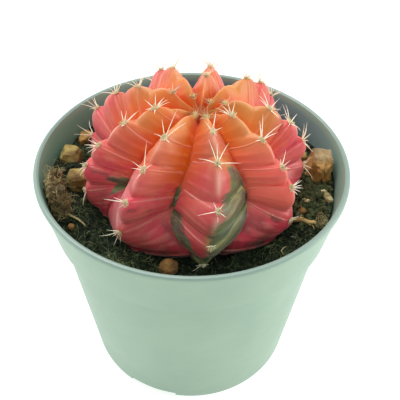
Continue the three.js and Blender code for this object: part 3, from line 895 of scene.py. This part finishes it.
def spine(rib, areole, turn, length, dice):
    """One bowed spine on its areole. Its turn is measured from straight downhill."""
    seat, normal, downhill, sideways, _ = areole_seat(rib, areole)
    facing = (normal - 0.3 * downhill).normalized()
    turn = math.radians(turn + dice.uniform(-9, 9))
    lift = math.radians(dice.uniform(16, 38) + (20 if 3 <= rib <= 6 else 0))
    length *= dice.uniform(0.85, 1.1)
    along_skin = downhill * math.cos(turn) + sideways * math.sin(turn)
    heading = facing * math.sin(lift) + along_skin * math.cos(lift)
    bow = facing * dice.uniform(0.02, 0.1) * length
    thick = dice.uniform(0.12, 0.16)
    line = []
    for share in (0, 0.2, 0.4, 0.6, 0.8, 1):
        place = seat - 0.5 * normal + heading * (length * share + 0.3) + bow * 4 * share * (1 - share)
        line.append((place, thick * (1 - 0.85 * share ** 1.4)))
    return line


areoles = [(rib, areole) for rib in range(len(ribs)) for areole in range(1, areole_count + 1)]
spine_lines = []
for rib, areole in areoles:
    age = lerp(0.42, 1.0, float(smoothstep(areole_seat(rib, areole)[4], 4, 36)))
    fan = [(turn, length * age) for turn, length in draw.sample(common_fan, draw.choice((5, 5, 6, 6, 7)))]
    for turn, length in front_fans.get((rib, areole), fan):
        spine_lines.append(spine(rib, areole, turn, length, draw))
crown_draw = random.Random(5)
for rib in range(len(ribs)):
    for turn in (150, 182, 212):
        spine_lines.append(spine(rib, 1, turn, crown_draw.uniform(2.4, 3.8), crown_draw))
spines = strands("cactus_spines", spine_lines)
hand_over(spines, "cactus_flesh")
print("spines:", len(spine_lines))

# %% [markdown]
# ## Wool
# The spines stand in a pad of felt, widest at the crown. It could be a rough lump, but its outline is
# made of short fine hairs, so these are drawn like the spines, only shorter and finer. Spines and wool
# also get a mark for how young they are, from their distance to the middle of the crown.

# %% Felt the areoles
def random_vector():
    return Vector([draw.uniform(-1, 1) for _ in range(3)])


wool_lines = []
for rib, areole in areoles:
    seat, normal, downhill, sideways, _ = areole_seat(rib, areole)
    pad_radius = 1.05 if areole == 1 else 0.88
    for _ in range(100):
        turn = draw.uniform(0, 2 * math.pi)
        away = pad_radius * math.sqrt(draw.random())
        spread = 1.1 * math.cos(turn) * downhill + 0.7 * math.sin(turn) * sideways
        root = seat + away * spread - 0.25 * normal
        heading = (normal + 0.75 * random_vector()).normalized()
        length = draw.uniform(0.5, 0.95)
        tip = root + heading * length + random_vector() * 0.22
        wool_lines.append([(root, 0.06), (root + heading * length * 0.55, 0.05), (tip, 0.02)])
wool = strands("areole_wool", wool_lines, 0)
for piece in (spines, wool):
    from_crown = np.hypot(points_of(piece)[:, 0] - axis_x, points_of(piece)[:, 1] - axis_y)
    mark(piece, "young", 1 - smoothstep(from_crown, 4, 12))
hand_over(wool, "cactus_flesh")

# %% [markdown]
# ## Spine and wool finish
# Spines are like thin horn: cream, and clear enough to let some light through, so they get much of the
# subsurface scattering that the flesh has a little of. The young ones are still reddish brown. Wool is
# matt and a warm cream. Both take their tone from noise, so that no two neighbours look the same.

# %% Mix the spine and wool finishes
horn = Finish("spine_horn")
tone = horn.noise(420, 3)
horn_colour = horn.ramp(tone, {0.3: (238, 216, 176), 0.55: (252, 240, 210), 0.8: (255, 250, 234)})
spines.data.materials.append(horn.settle({
    "Base Color": horn.mix(horn.guide("young"), horn_colour, (176, 98, 66)),
    "Roughness": horn.span(tone, 0.3, 0.7, 0.35, 0.5),
    "Subsurface Weight": 0.4,
    "Subsurface Radius": (1.0, 0.95, 0.8),
    "Subsurface Scale": mm,
}))
felt = Finish("grey_felt")
felt_colour = felt.ramp(felt.noise(700, 4), {0.3: (206, 194, 146), 0.7: (244, 238, 206)})
felt_colour = felt.mix(felt.guide("young"), felt_colour, (236, 226, 172))
wool.data.materials.append(felt.settle({"Base Color": felt_colour, "Roughness": 0.9}))

# %% [markdown]
# ## The soil: its surface
# The pot is filled with peat. The solid of the soil has a calm surface, heaped a little at the sides and
# sunk at the front, and the fine one follows it. A polar grid is lifted by the same heaps and roughened
# by noise at three sizes: soft lumps, crumbs and grit. Cell noise makes better crumbs than cloud noise,
# because its bumps have edges. The block of soil is closed down to the floor.

# %% Lay the soil
# Middle of each heap, its lift, and how far it spreads
soil_heaps = [(-37, -6, 4.4, 10), (37, 2, 2.6, 9), (-20, 33, 1.6, 10), (6, -34, -3.4, 12)]
soil_depth = 9.5
crumb_height = 0.45
clearance = 0.3


def soil_level(x, y):
    level = pot_height - soil_depth
    for heap_x, heap_y, lift, spread in soil_heaps:
        level = level + lift * np.exp(-((x - heap_x) ** 2 + (y - heap_y) ** 2) / (2 * spread ** 2))
    coarse = np.sin(x / 1.9 + 1.3) * np.sin(y / 2.3)
    return level + crumb_height * (coarse + 0.6 * np.sin(x / 1.2 - y / 1.5))


def crumbly(x, y):
    spot = Vector((x, y, 0))
    lump = noise.fractal(spot / 5.5, 0.8, 2.0, 3)
    crumb = 0.45 - noise.voronoi(spot / 2.1)[0][0]
    grit = 0.45 - noise.voronoi(spot / 0.95)[0][0]
    return 0.7 * lump + 1.0 * crumb + 0.4 * grit


soil_sides = 260
bearings = np.arange(soil_sides) * 360 / soil_sides
edge_level = soil_level(*at_bearing(bearings, 39.0, 0)[:, :2].T)
edge_radius = inside_radius(edge_level) - clearance
soil_rings = []
for share in [0.2, 0.4, *np.linspace(0.5, 0.985, 66), 1.0]:
    ring = at_bearing(bearings, share * edge_radius, 0.0)
    rough = np.array([crumbly(x, y) for x, y, _ in ring])
    ring[:, 2] = soil_level(ring[:, 0], ring[:, 1]) + rough * min(1, 8 * (1 - share) + 0.35)
    soil_rings.append(ring)
for radius, height in reversed(inside_face[:4]):
    soil_rings.append(at_bearing(bearings, radius - clearance, max(height, floor_top + clearance)))
soil_middle = (0, 0, float(soil_level(0, 0)))
soil = closed_grid("potting_soil", np.stack(soil_rings), soil_middle, (0, 0, floor_top + clearance))
hand_over(soil, "potting_soil", "soil")

# %% [markdown]
# ## Loose crumbs
# Peat breaks into crumbs. A few model crumbs are made by hand: a small ball is dented at random and
# flattened. They are copied hundreds of times with a new size and turn, and dropped on the soil by a ray
# that looks straight down. A crumb that would fall inside the plant is left out. Each copy keeps a number
# of its own, which later gives it its colour.

# %% Model the crumbs and scatter them
def model_lump(seed, flat):
    bpy.ops.mesh.primitive_ico_sphere_add(subdivisions=1, radius=1)
    bpy.ops.object.mode_set(mode="EDIT")
    bpy.ops.mesh.select_all(action="SELECT")
    bpy.ops.transform.vertex_random(offset=0.32, seed=seed)
    bpy.ops.transform.resize(value=(1.25, 1, flat))
    bpy.ops.mesh.bevel(offset=0.16, segments=1, affect="EDGES")
    bpy.ops.object.mode_set(mode="OBJECT")
    made = bpy.context.object
    points = np.array([vertex.co for vertex in made.data.vertices])
    faces = [tuple(face.vertices) for face in made.data.polygons]
    bpy.data.objects.remove(made)
    return points, faces


def scatter(name, models, places):
    """One mesh of many copies. Each place is (model, size, turn, middle, tone) in millimetres."""
    points, faces, tones = [], [], []
    count = 0
    for model, size, turn, middle, tone in places:
        model_points, model_faces = models[model]
        points.append((model_points * size) @ np.array(turn.to_matrix()).T + np.array(middle))
        faces += [tuple(corner + count for corner in face) for face in model_faces]
        tones.append(np.full(len(model_points), tone))
        count += len(model_points)
    made = mesh_piece(name, np.concatenate(points), faces)
    mark(made, "tone", np.concatenate(tones))
    return made


body_tree = BVHTree.FromObject(body, bpy.context.evaluated_depsgraph_get())
soil_tree = BVHTree.FromObject(soil, bpy.context.evaluated_depsgraph_get())


def inside_body(x, y, z, margin):
    spot = Vector((x, y, z)) * mm
    near, normal, _, _ = body_tree.find_nearest(spot)
    return (spot - near).dot(normal) < margin * mm


def soil_height(x, y):
    hit = soil_tree.ray_cast(Vector((x, y, 120)) * mm, Vector((0, 0, -1)))[0]
    return hit.z / mm if hit else None


def random_heading():
    return Vector([draw.gauss(0, 1) for _ in range(3)])


def crumb_at(x, y, size, tone):
    z = soil_height(x, y)
    outside = z is None or math.hypot(x, y) + 1.3 * size > inside_radius(z)
    if outside or inside_body(x, y, z + 0.5 * size, size):
        return []
    model = draw.randrange(len(lumps))
    axis = random_heading().normalized()
    turn = Matrix.Rotation(draw.uniform(0, 2 * math.pi), 3, axis).to_quaternion()
    return [(model, size, turn, (x, y, z + 0.25 * size), tone)]


lumps = [model_lump(seed, flat) for seed, flat in ((1, 0.7), (2, 0.85), (3, 0.6), (4, 0.8), (5, 0.5))]
crumb_places = []
while len(crumb_places) < 1250:
    bearing = draw.uniform(0, 2 * math.pi)
    away = 40.2 * math.sqrt(draw.uniform(0.25, 1))
    x, y = away * math.sin(bearing), -away * math.cos(bearing)
    size = 0.34 + 0.5 * draw.random() ** 3 + (0.4 if draw.random() < 0.04 else 0)
    crumb_places += crumb_at(x, y, size, draw.random() * (0.7 if y < -14 else 0.97))
# The ground at the right shows bigger and paler crumbs
while len(crumb_places) < 1600:
    x, y = draw.gauss(33, 3.6), draw.gauss(-5, 6)
    crumb_places += crumb_at(x, y, draw.uniform(0.45, 1.0), min(draw.gauss(0.76, 0.12), 0.95))
crumbs = scatter("soil_crumbs", lumps, crumb_places)
hand_over(crumbs, "potting_soil")

# %% [markdown]
# ## Fibres in the soil
# Peat is full of fine roots and straws, and they catch the light more than the crumbs do. Each is a short
# strand that wanders over the surface. Many are spread evenly, and tangles lie where the photograph shows
# them: left and right at the front, and round the clump at the left wall.

# %% Strew the fibres
# Middle of each tangle, its spread, and its number of fibres
tangles = [
    (-18, -28, 6, 150), (24, -25, 6, 90), (-31, -14, 4, 60),
    (-30, 12, 5, 20), (20, 30, 6, 30), (35, -9, 5, 40),
]
fibre_roots = []
for middle_x, middle_y, spread, count in tangles:
    for _ in range(count):
        fibre_roots.append((draw.gauss(middle_x, spread / 2), draw.gauss(middle_y, spread / 2)))
for _ in range(230):
    bearing, away = draw.uniform(0, 2 * math.pi), 40 * math.sqrt(draw.uniform(0.3, 1))
    fibre_roots.append((away * math.sin(bearing), -away * math.cos(bearing)))


def wander(x, y, length, thick, lift):
    """A strand over the soil from one place, turning a little at each step."""
    heading = draw.uniform(0, 2 * math.pi)
    bend = draw.uniform(-0.35, 0.35)
    line = []
    for step in range(7):
        z = soil_height(x, y)
        if z is None or math.hypot(x, y) > inside_radius(z) - 0.4 or inside_body(x, y, z + 0.3, 0.1):
            break
        rise = lift * math.sin(math.pi * step / 6)
        line.append(((x, y, z + 0.6 * thick + rise), thick * (1 - 0.09 * step)))
        heading += bend + draw.uniform(-0.25, 0.25)
        x += length / 6 * math.cos(heading)
        y += length / 6 * math.sin(heading)
    return line


fibre_lines = [
    wander(x, y, draw.uniform(2, 8), draw.uniform(0.04, 0.1), draw.uniform(0, 0.9)) for x, y in fibre_roots
]
fibres = strands("soil_fibres", [line for line in fibre_lines if len(line) > 3], 0)
hand_over(fibres, "potting_soil")

# %% [markdown]
# ## Peat finish
# Wet peat is nearly black in its hollows, and its dry crumbs are olive to warm brown. The soil and its
# crumbs share one way of mixing: noise picks from a dark ramp, and on the crumbs their own number moves
# the pick, so that a few turn tan or clay orange. Peat has no gloss.

# %% Mix the peat
def peat(name, darkest, middle, bright, own_tones=None):
    made = Finish(name)
    cloud = made.noise(700, 6, 0.7)
    colour = made.ramp(cloud, {0.32: darkest, 0.52: middle, 0.72: bright})
    if own_tones:
        colour = made.mix(0.7, colour, made.ramp(made.guide("tone"), own_tones))
    looks = {"Base Color": colour, "Roughness": 0.92, "Specular IOR Level": 0.25}
    return made.settle(looks, (cloud, 0.6, 0.25))


crumb_tones = {
    0.0: (14, 20, 12), 0.4: (32, 43, 25), 0.7: (60, 72, 42),
    0.9: (100, 102, 68), 0.96: (126, 98, 58), 0.99: (152, 146, 108),
}
soil.data.materials.append(peat("dark_peat", (8, 15, 9), (24, 34, 20), (68, 80, 50)))
crumbs.data.materials.append(peat("peat_crumbs", (15, 22, 13), (44, 53, 31), (92, 98, 62), crumb_tones))
straw = Finish("peat_straw")
straw_colour = straw.ramp(straw.noise(330, 2), {
    0.34: (50, 62, 38), 0.5: (88, 101, 65), 0.62: (132, 139, 98), 0.72: (186, 186, 152),
})
fibres.data.materials.append(straw.settle({"Base Color": straw_colour, "Roughness": 0.8}))

# %% [markdown]
# ## Bark and stones
# Bigger pieces lie on the soil: tan stones at the left, a tall bark chip at the right, a round pebble at
# the front, grains of baked clay and a twig. Broken stone and bark have flat faces with worn edges, so
# each starts as a cube, loses its corners to a bevel and to cuts by planes, and is then rounded by a
# subdivision surface and roughened by a displacement. Each takes the size, the turn and the place of its
# solid. The cuts of the pieces that show clearly are listed one by one, the others fall at random.

# %% Shape the loose pieces
grains = []
for name, size in (("coarse_grain", 1.6), ("fine_grain", 0.6)):
    grains.append(bpy.data.textures.new(name, "CLOUDS"))
    grains[-1].noise_scale = size * mm


def broken_block(name, size, middle, turn, cuts, rough, wear, finer=2):
    """A lump with flat broken faces, from a cube that is worn, cut by planes and roughened."""
    bpy.ops.mesh.primitive_cube_add(size=1.04)
    made = bpy.context.object
    made.name = name
    bpy.ops.object.mode_set(mode="EDIT")
    bpy.ops.mesh.select_all(action="SELECT")
    bpy.ops.mesh.bevel(offset=wear, segments=1, affect="EDGES")
    for cut in cuts:
        plane = Vector(cut[:3]).normalized()
        bpy.ops.mesh.select_all(action="SELECT")
        bpy.ops.mesh.bisect(plane_co=plane * cut[3], plane_no=plane, use_fill=True, clear_outer=True)
    bpy.ops.mesh.select_all(action="SELECT")
    bpy.ops.mesh.remove_doubles(threshold=0.02)
    bpy.ops.mesh.bevel(offset=0.04, segments=1, affect="EDGES", clamp_overlap=True)
    bpy.ops.mesh.normals_make_consistent(inside=False)
    bpy.ops.object.mode_set(mode="OBJECT")
    made.scale = Vector(size) * mm
    made.rotation_euler = [math.radians(angle) for angle in turn]
    made.location = Vector(middle) * mm
    bpy.ops.object.transform_apply(location=True, rotation=True, scale=True)
    rounding = made.modifiers.new("rounding", "SUBSURF")
    rounding.levels = rounding.render_levels = finer
    for texture, depth in zip(grains, (rough, 0.5 * rough)):
        grain = made.modifiers.new("grain", "DISPLACE")
        grain.texture = texture
        grain.texture_coords = "LOCAL"
        grain.strength = depth * mm
    for modifier in list(made.modifiers):
        bpy.ops.object.modifier_apply(modifier=modifier.name)
    smooth(made, 50)
    return made


def box_of(solid, turn):
    """Size and middle of a solid's box, measured along its own turned sides."""
    turned = np.array(Matrix.Rotation(math.radians(turn), 3, "Z"))
    local = points_of(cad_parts[solid]) @ turned
    low, high = local.min(axis=0), local.max(axis=0)
    return high - low, turned @ ((low + high) / 2)


def random_cuts(count):
    return [(*(draw.gauss(0, 1) for _ in range(3)), draw.uniform(0.4, 0.52)) for _ in range(count)]


# Each plane of a cut is its direction and its distance from the middle, as a share of the lump
chip_cuts = [
    (-1, -0.1, 0.45, 0.42), (0.15, -0.5, 1, 0.52), (1, 0.2, 0.1, 0.5), (-0.4, -1, 0.1, 0.48),
    (0.9, -0.9, 0.5, 0.62),
]
stone_cuts = [(-1, -0.2, 0.9, 0.6), (1, -0.3, 0.8, 0.58), (0.2, -1, 0.5, 0.55), (0.5, 0.8, 0.6, 0.6)]
block_cuts = [(-0.6, -0.6, 0.8, 0.6), (1, 0, 0.5, 0.55), (-1, 0.3, 0.2, 0.48)]

# Nudge in millimetres and stretch of the lumps that the photograph shows clearly
fitting = {
    "tall_bark_chip": ((-0.8, -0.1, -0.25), (1.1, 1.0, 0.95)),
    "tan_block_a": ((0.0, 0.0, -0.3), (0.92, 0.92, 1.05)),
}
loose = {}
finish_of = []
# Name, solid, turn, cuts or their number, roughness, wear of the edges, and slot
for name, solid, turn, cuts, rough, wear, slot in [
    ("tall_bark_chip", "bark_chip_big", -12, chip_cuts, 0.9, 0.07, "bark"),
    ("tan_block_a", "tan_stone_1", -8, stone_cuts, 0.5, 0.14, "tan_stone"),
    ("tan_block_b", "tan_stone_2", 10, block_cuts, 0.5, 0.16, "tan_stone"),
    ("tan_block_c", "tan_stone_3", 0, 4, 0.5, 0.2, "tan_stone"),
    ("tan_block_d", "tan_stone_4", 15, 4, 0.6, 0.2, "tan_stone"),
    ("bark_flake_a", "bark_chip_2", 40, 5, 0.8, 0.16, "bark"),
    ("bark_flake_b", "bark_chip_3", -35, 5, 0.8, 0.16, "bark"),
    ("bark_flake_c", "bark_chip_4", 5, 5, 0.8, 0.16, "bark"),
    ("clay_pebble", "round_pebble", 0, 0, 0.5, 0.33, "orange_clay"),
    ("clay_grain_a", "orange_grain_1", 30, 3, 0.3, 0.24, "orange_clay"),
    ("clay_grain_b", "orange_grain_2", -20, 3, 0.3, 0.24, "orange_clay"),
    ("twig_piece", "pale_twig", -65, 1, 0.25, 0.26, "pale_wood"),
]:
    cuts = random_cuts(cuts) if isinstance(cuts, int) else cuts
    size, middle = box_of(solid, turn)
    nudge, stretch = fitting.get(name, ((0, 0, 0), (1, 1, 1)))
    size, middle = size * np.array(stretch), middle + np.array(nudge)
    finer = 3 if name in ("tall_bark_chip", "clay_pebble") else 2
    loose[name] = broken_block(name, size, middle, (0, 0, turn), cuts, rough, wear, finer)
    hand_over(loose[name], slot, solid)
    finish_of.append((loose[name], slot))

# %% [markdown]
# ## The fissures of the tall chip
# The front of the tall bark chip is split along its grain by one deep fissure and two shallow ones. They
# could be cut with more planes, but real splits waver, so the points of the front are pushed in along
# three wavering lines.

# %% Split the tall chip
chip = loose["tall_bark_chip"]
chip_points = points_of(chip)
away = chip_points - (chip_points.min(axis=0) + chip_points.max(axis=0)) / 2
# Place across the front, slant, half width and depth of each fissure
fissures = [(1.0, 0.04, 0.3, 0.7), (-1.3, -0.12, 0.3, 0.3), (2.5, 0.1, 0.25, 0.3)]
for across, slant, half_width, depth in fissures:
    wobble = 0.25 * np.sin(1.7 * away[:, 2] + across)
    gap = (away[:, 0] - across - slant * away[:, 2] - wobble) / half_width
    chip_points[:, 1] += depth * np.exp(-gap ** 2) * (away[:, 1] < 0)
chip.data.vertices.foreach_set("co", (chip_points * mm).ravel())
chip.data.update()
print("fissures cut into", chip.name)

# %% [markdown]
# ## The clump
# The clump at the left wall is a wad of torn bark, so a single lump would look like a stone. It is piled
# up from 27 broken blocks instead, five bigger ones listed one by one and a heap of small ones over them,
# which are joined into one piece.

# %% Pile up the clump
clump_turn = -72
clump_size, clump_middle = box_of("bark_clump", clump_turn)
clump_axes = np.array(Matrix.Rotation(math.radians(clump_turn), 3, "Z"))

# Place of each chunk from the clump's middle (along, across, up) and its size, as shares of the clump's
chunks = [
    ((-0.28, 0.04, -0.24), (0.40, 0.84, 0.54)),
    ((0.10, 0.00, -0.26), (0.42, 0.90, 0.50)),
    ((0.36, 0.00, -0.24), (0.28, 0.80, 0.52)),
    ((-0.34, 0.10, 0.22), (0.30, 0.50, 0.40)),
    ((-0.02, -0.08, 0.12), (0.26, 0.62, 0.54)),
]
for _ in range(22):
    place_share = (draw.uniform(-0.44, 0.44), draw.uniform(-0.36, 0.3), draw.uniform(-0.1, 0.42))
    chunks.append((place_share, [draw.uniform(0.1, 0.2), draw.uniform(0.2, 0.44), draw.uniform(0.1, 0.28)]))
chunk_pieces = []
for place_share, size_share in chunks:
    middle = clump_middle + clump_axes @ (np.array(place_share) * clump_size)
    tumble = (draw.uniform(-35, 35), draw.uniform(-35, 35), clump_turn + draw.uniform(-60, 60))
    size = np.array(size_share) * clump_size
    chunk_pieces.append(broken_block("chunk", size, middle, tumble, random_cuts(3), 0.8, 0.08, 1))
for chunk in chunk_pieces:
    chunk.select_set(True)
bpy.context.view_layer.objects.active = chunk_pieces[0]
bpy.ops.object.join()
clump = bpy.context.object
clump.name = "fibrous_clump"
clump.select_set(False)
hand_over(clump, "bark_dark", "bark_clump")
finish_of.append((clump, "bark_dark"))

# %% [markdown]
# ## The clump's fibres
# What makes it a wad is its fibres. A thousand strands are rooted on its faces, more of them low down,
# where they spread over the soil. Each starts along the surface, curls a little, and never sinks into
# the soil or the wall.

# %% Lay the clump's fibres
def tuft(starts, length, thick, spring):
    """Curled strands that start at (place, normal) pairs and lie along the surface there."""
    lines = []
    for place, normal in starts:
        heading = random_heading()
        heading = (heading - heading.dot(normal) * (1 - spring) * normal).normalized()
        bend = Vector([draw.gauss(0, 0.28) for _ in range(3)])
        reach = draw.uniform(*length) / 6
        radius = draw.uniform(*thick)
        place = place + 0.05 * normal
        line = []
        for step in range(7):
            ground = soil_height(place.x, place.y)
            if ground is None or math.hypot(place.x, place.y) > inside_radius(place.z) - 0.25:
                break
            line.append(((place.x, place.y, max(place.z, ground + 0.1)), radius * (1 - 0.1 * step)))
            heading = (heading + bend - 0.12 * normal).normalized()
            place = place + reach * heading
        if len(line) > 3:
            lines.append(line)
    return lines


clump_faces = list(clump.data.polygons)
chances = [face.area * (3 if face.center.z < clump_middle[2] * mm else 1) for face in clump_faces]
rooted = draw.choices(clump_faces, weights=chances, k=1000)
starts = [(Vector(face.center) / mm, Vector(face.normal)) for face in rooted]
clump_fibres = strands("clump_fibres", tuft(starts, (1.4, 4.4), (0.05, 0.15), 0.2), 0)
hand_over(clump_fibres, "bark_dark")

# %% [markdown]
# ## The root, its knot and the straws
# The dry root at the right is a bent strand with two side roots. It ends in a knot of fine rootlets: a
# ball would look solid, so arcs of many sizes are wound round one middle. A straw and a few pale scraps
# lie where the photograph shows them. All follow the height of the soil.

# %% Lay the root, its knot and the straws
def laid(points, thick, lift=0.5):
    """A strand over the soil through (x, y) points, with a radius at its start and its end."""
    line = []
    for step in range(13):
        along = step / 12 * (len(points) - 1)
        x, y = [float(np.interp(along, range(len(points)), values)) for values in zip(*points)]
        radius = lerp(*thick, step / 12) * draw.uniform(0.85, 1.15)
        line.append(((x, y, soil_height(x, y) + radius + lift * math.sin(math.pi * step / 12)), radius))
    return line


def ball_of_strands(middle, radius, count):
    """Arcs that wind round a ball, as fine rootlets round a knot."""
    lines = []
    for _ in range(count):
        start = random_heading().normalized()
        side = start.orthogonal().normalized()
        side.rotate(Matrix.Rotation(draw.uniform(0, 2 * math.pi), 3, start))
        sweep, away = draw.uniform(0.8, 2.4), radius * draw.uniform(0.45, 1.3)
        thick = draw.uniform(0.06, 0.15)
        line = []
        for step in range(9):
            angle = sweep * step / 8
            place = middle + away * (start * math.cos(angle) + side * math.sin(angle))
            line.append((place, thick * (1 - 0.06 * step)))
        lines.append(line)
    return lines


root_piece = strands("root_piece", [
    laid([(25.2, -14.0), (27.2, -15.3), (29.8, -15.9), (32.6, -16.2)], (0.55, 0.6)),
    laid([(28.0, -15.4), (29.0, -13.8), (29.5, -12.3)], (0.2, 0.1)),
    laid([(30.4, -15.9), (31.6, -17.6), (31.8, -18.8)], (0.2, 0.08)),
], 2)
knot_middle = Vector((34.0, -16.0, soil_height(34.0, -16.0) + 1.0))
knot = strands("root_knot", ball_of_strands(knot_middle, 1.5, 85), 0)
scraps = strands("pale_scraps", [
    laid([(-32.7, -15.8), (-30.2, -17.0), (-27.2, -18.9)], (0.34, 0.22)),
    laid([(31.6, -8.8), (30.9, -9.6), (30.4, -9.0)], (0.5, 0.2), 0.6),
    laid([(30.2, -7.9), (30.9, -8.6)], (0.4, 0.3)),
    laid([(12.3, -32.2), (12.8, -32.5)], (0.4, 0.3), 0.1),
    laid([(24.4, -23.4), (22.6, -25.6), (23.8, -27.0)], (0.14, 0.08), 0.8),
], 2)
for piece, *solids in ((root_piece, "dry_root"), (knot,), (scraps,)):
    smooth(piece, 60)
    hand_over(piece, "pale_wood", *solids)

# %% [markdown]
# ## Finishes of the loose pieces
# Bark is layered, so its noise is stretched flat into bands, from dark brown to orange brown, and the top
# of the tall chip turns greyer. The stones are tan with brown stains in their pits. Baked clay is an
# even, matt orange brown. The dry wood has a long grain. One function mixes them all from three colours,
# a scale and a stretch.

# %% Mix bark, stone, clay and dry wood
def mineral(name, dark, middle, light, scale, stretch, depth, greyer_above=None):
    made = Finish(name)
    cloud = made.noise(scale, 6, 0.68, made.stretch(made.place, stretch))
    speck = made.noise(4 * scale, 3)
    colour = made.ramp(cloud, {0.36: dark, 0.5: middle, 0.64: light})
    colour = made.mix(made.span(speck, 0.58, 0.7, 0.0, 0.6), colour, dark)
    # The top of the tall chip turns greyer.
    if greyer_above:
        height = made.add("SeparateXYZ", {0: made.place}).outputs[2]
        grey_top = made.span(height, greyer_above * mm, (greyer_above + 1.5) * mm, 0.0, 0.6)
        colour = made.mix(grey_top, colour, (126, 120, 100))
    roughness = made.span(speck, 0.3, 0.7, 0.78, 0.95)
    return made.settle({"Base Color": colour, "Roughness": roughness}, (cloud, 0.7, depth))


even = (1, 1, 1)
finishes = {
    "bark": mineral("warm_bark", (122, 90, 42), (166, 126, 64), (186, 152, 94), 230, (1, 1, 0.7), 0.35, 69.6),
    "bark_dark": mineral("dark_bark", (52, 44, 26), (108, 90, 54), (152, 132, 86), 420, (1.8, 1.8, 0.6), 0.8),
    "tan_stone": mineral("tan_stone", (94, 68, 32), (146, 124, 64), (170, 152, 88), 340, even, 0.3),
    "orange_clay": mineral("baked_clay", (70, 50, 26), (120, 82, 38), (150, 112, 56), 190, even, 0.2),
    "pale_wood": mineral("dry_wood", (110, 98, 58), (172, 158, 108), (210, 202, 160), 420, (0.3, 1, 1), 0.2),
    "rootlets": mineral("rootlets", (92, 86, 54), (146, 138, 92), (200, 192, 146), 420, even, 0.2),
    "root_skin": mineral("root_skin", (124, 94, 48), (182, 146, 86), (210, 182, 124), 420, (0.4, 1, 1), 0.2),
    "torn_fibre": mineral("torn_fibre", (92, 80, 48), (150, 134, 88), (200, 186, 140), 300, even, 0.2),
}
finish_of += [
    (scraps, "pale_wood"), (knot, "rootlets"), (root_piece, "root_skin"), (clump_fibres, "torn_fibre"),
]
for piece, finish in finish_of:
    piece.data.materials.append(finishes[finish])
print("finishes:", sorted(finishes))

# %% [markdown]
# ## Sizes
# The dressed plant has to fill the same box as the solids, give or take a few millimetres. Both boxes are
# written down, so that they can be compared.

# %% Write down the sizes
dressed_box = [list(corner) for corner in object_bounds()]
for name, box in (("solids", solid_box), ("dressed", dressed_box)):
    print(name, [[round(value / mm, 2) for value in corner] for corner in box])
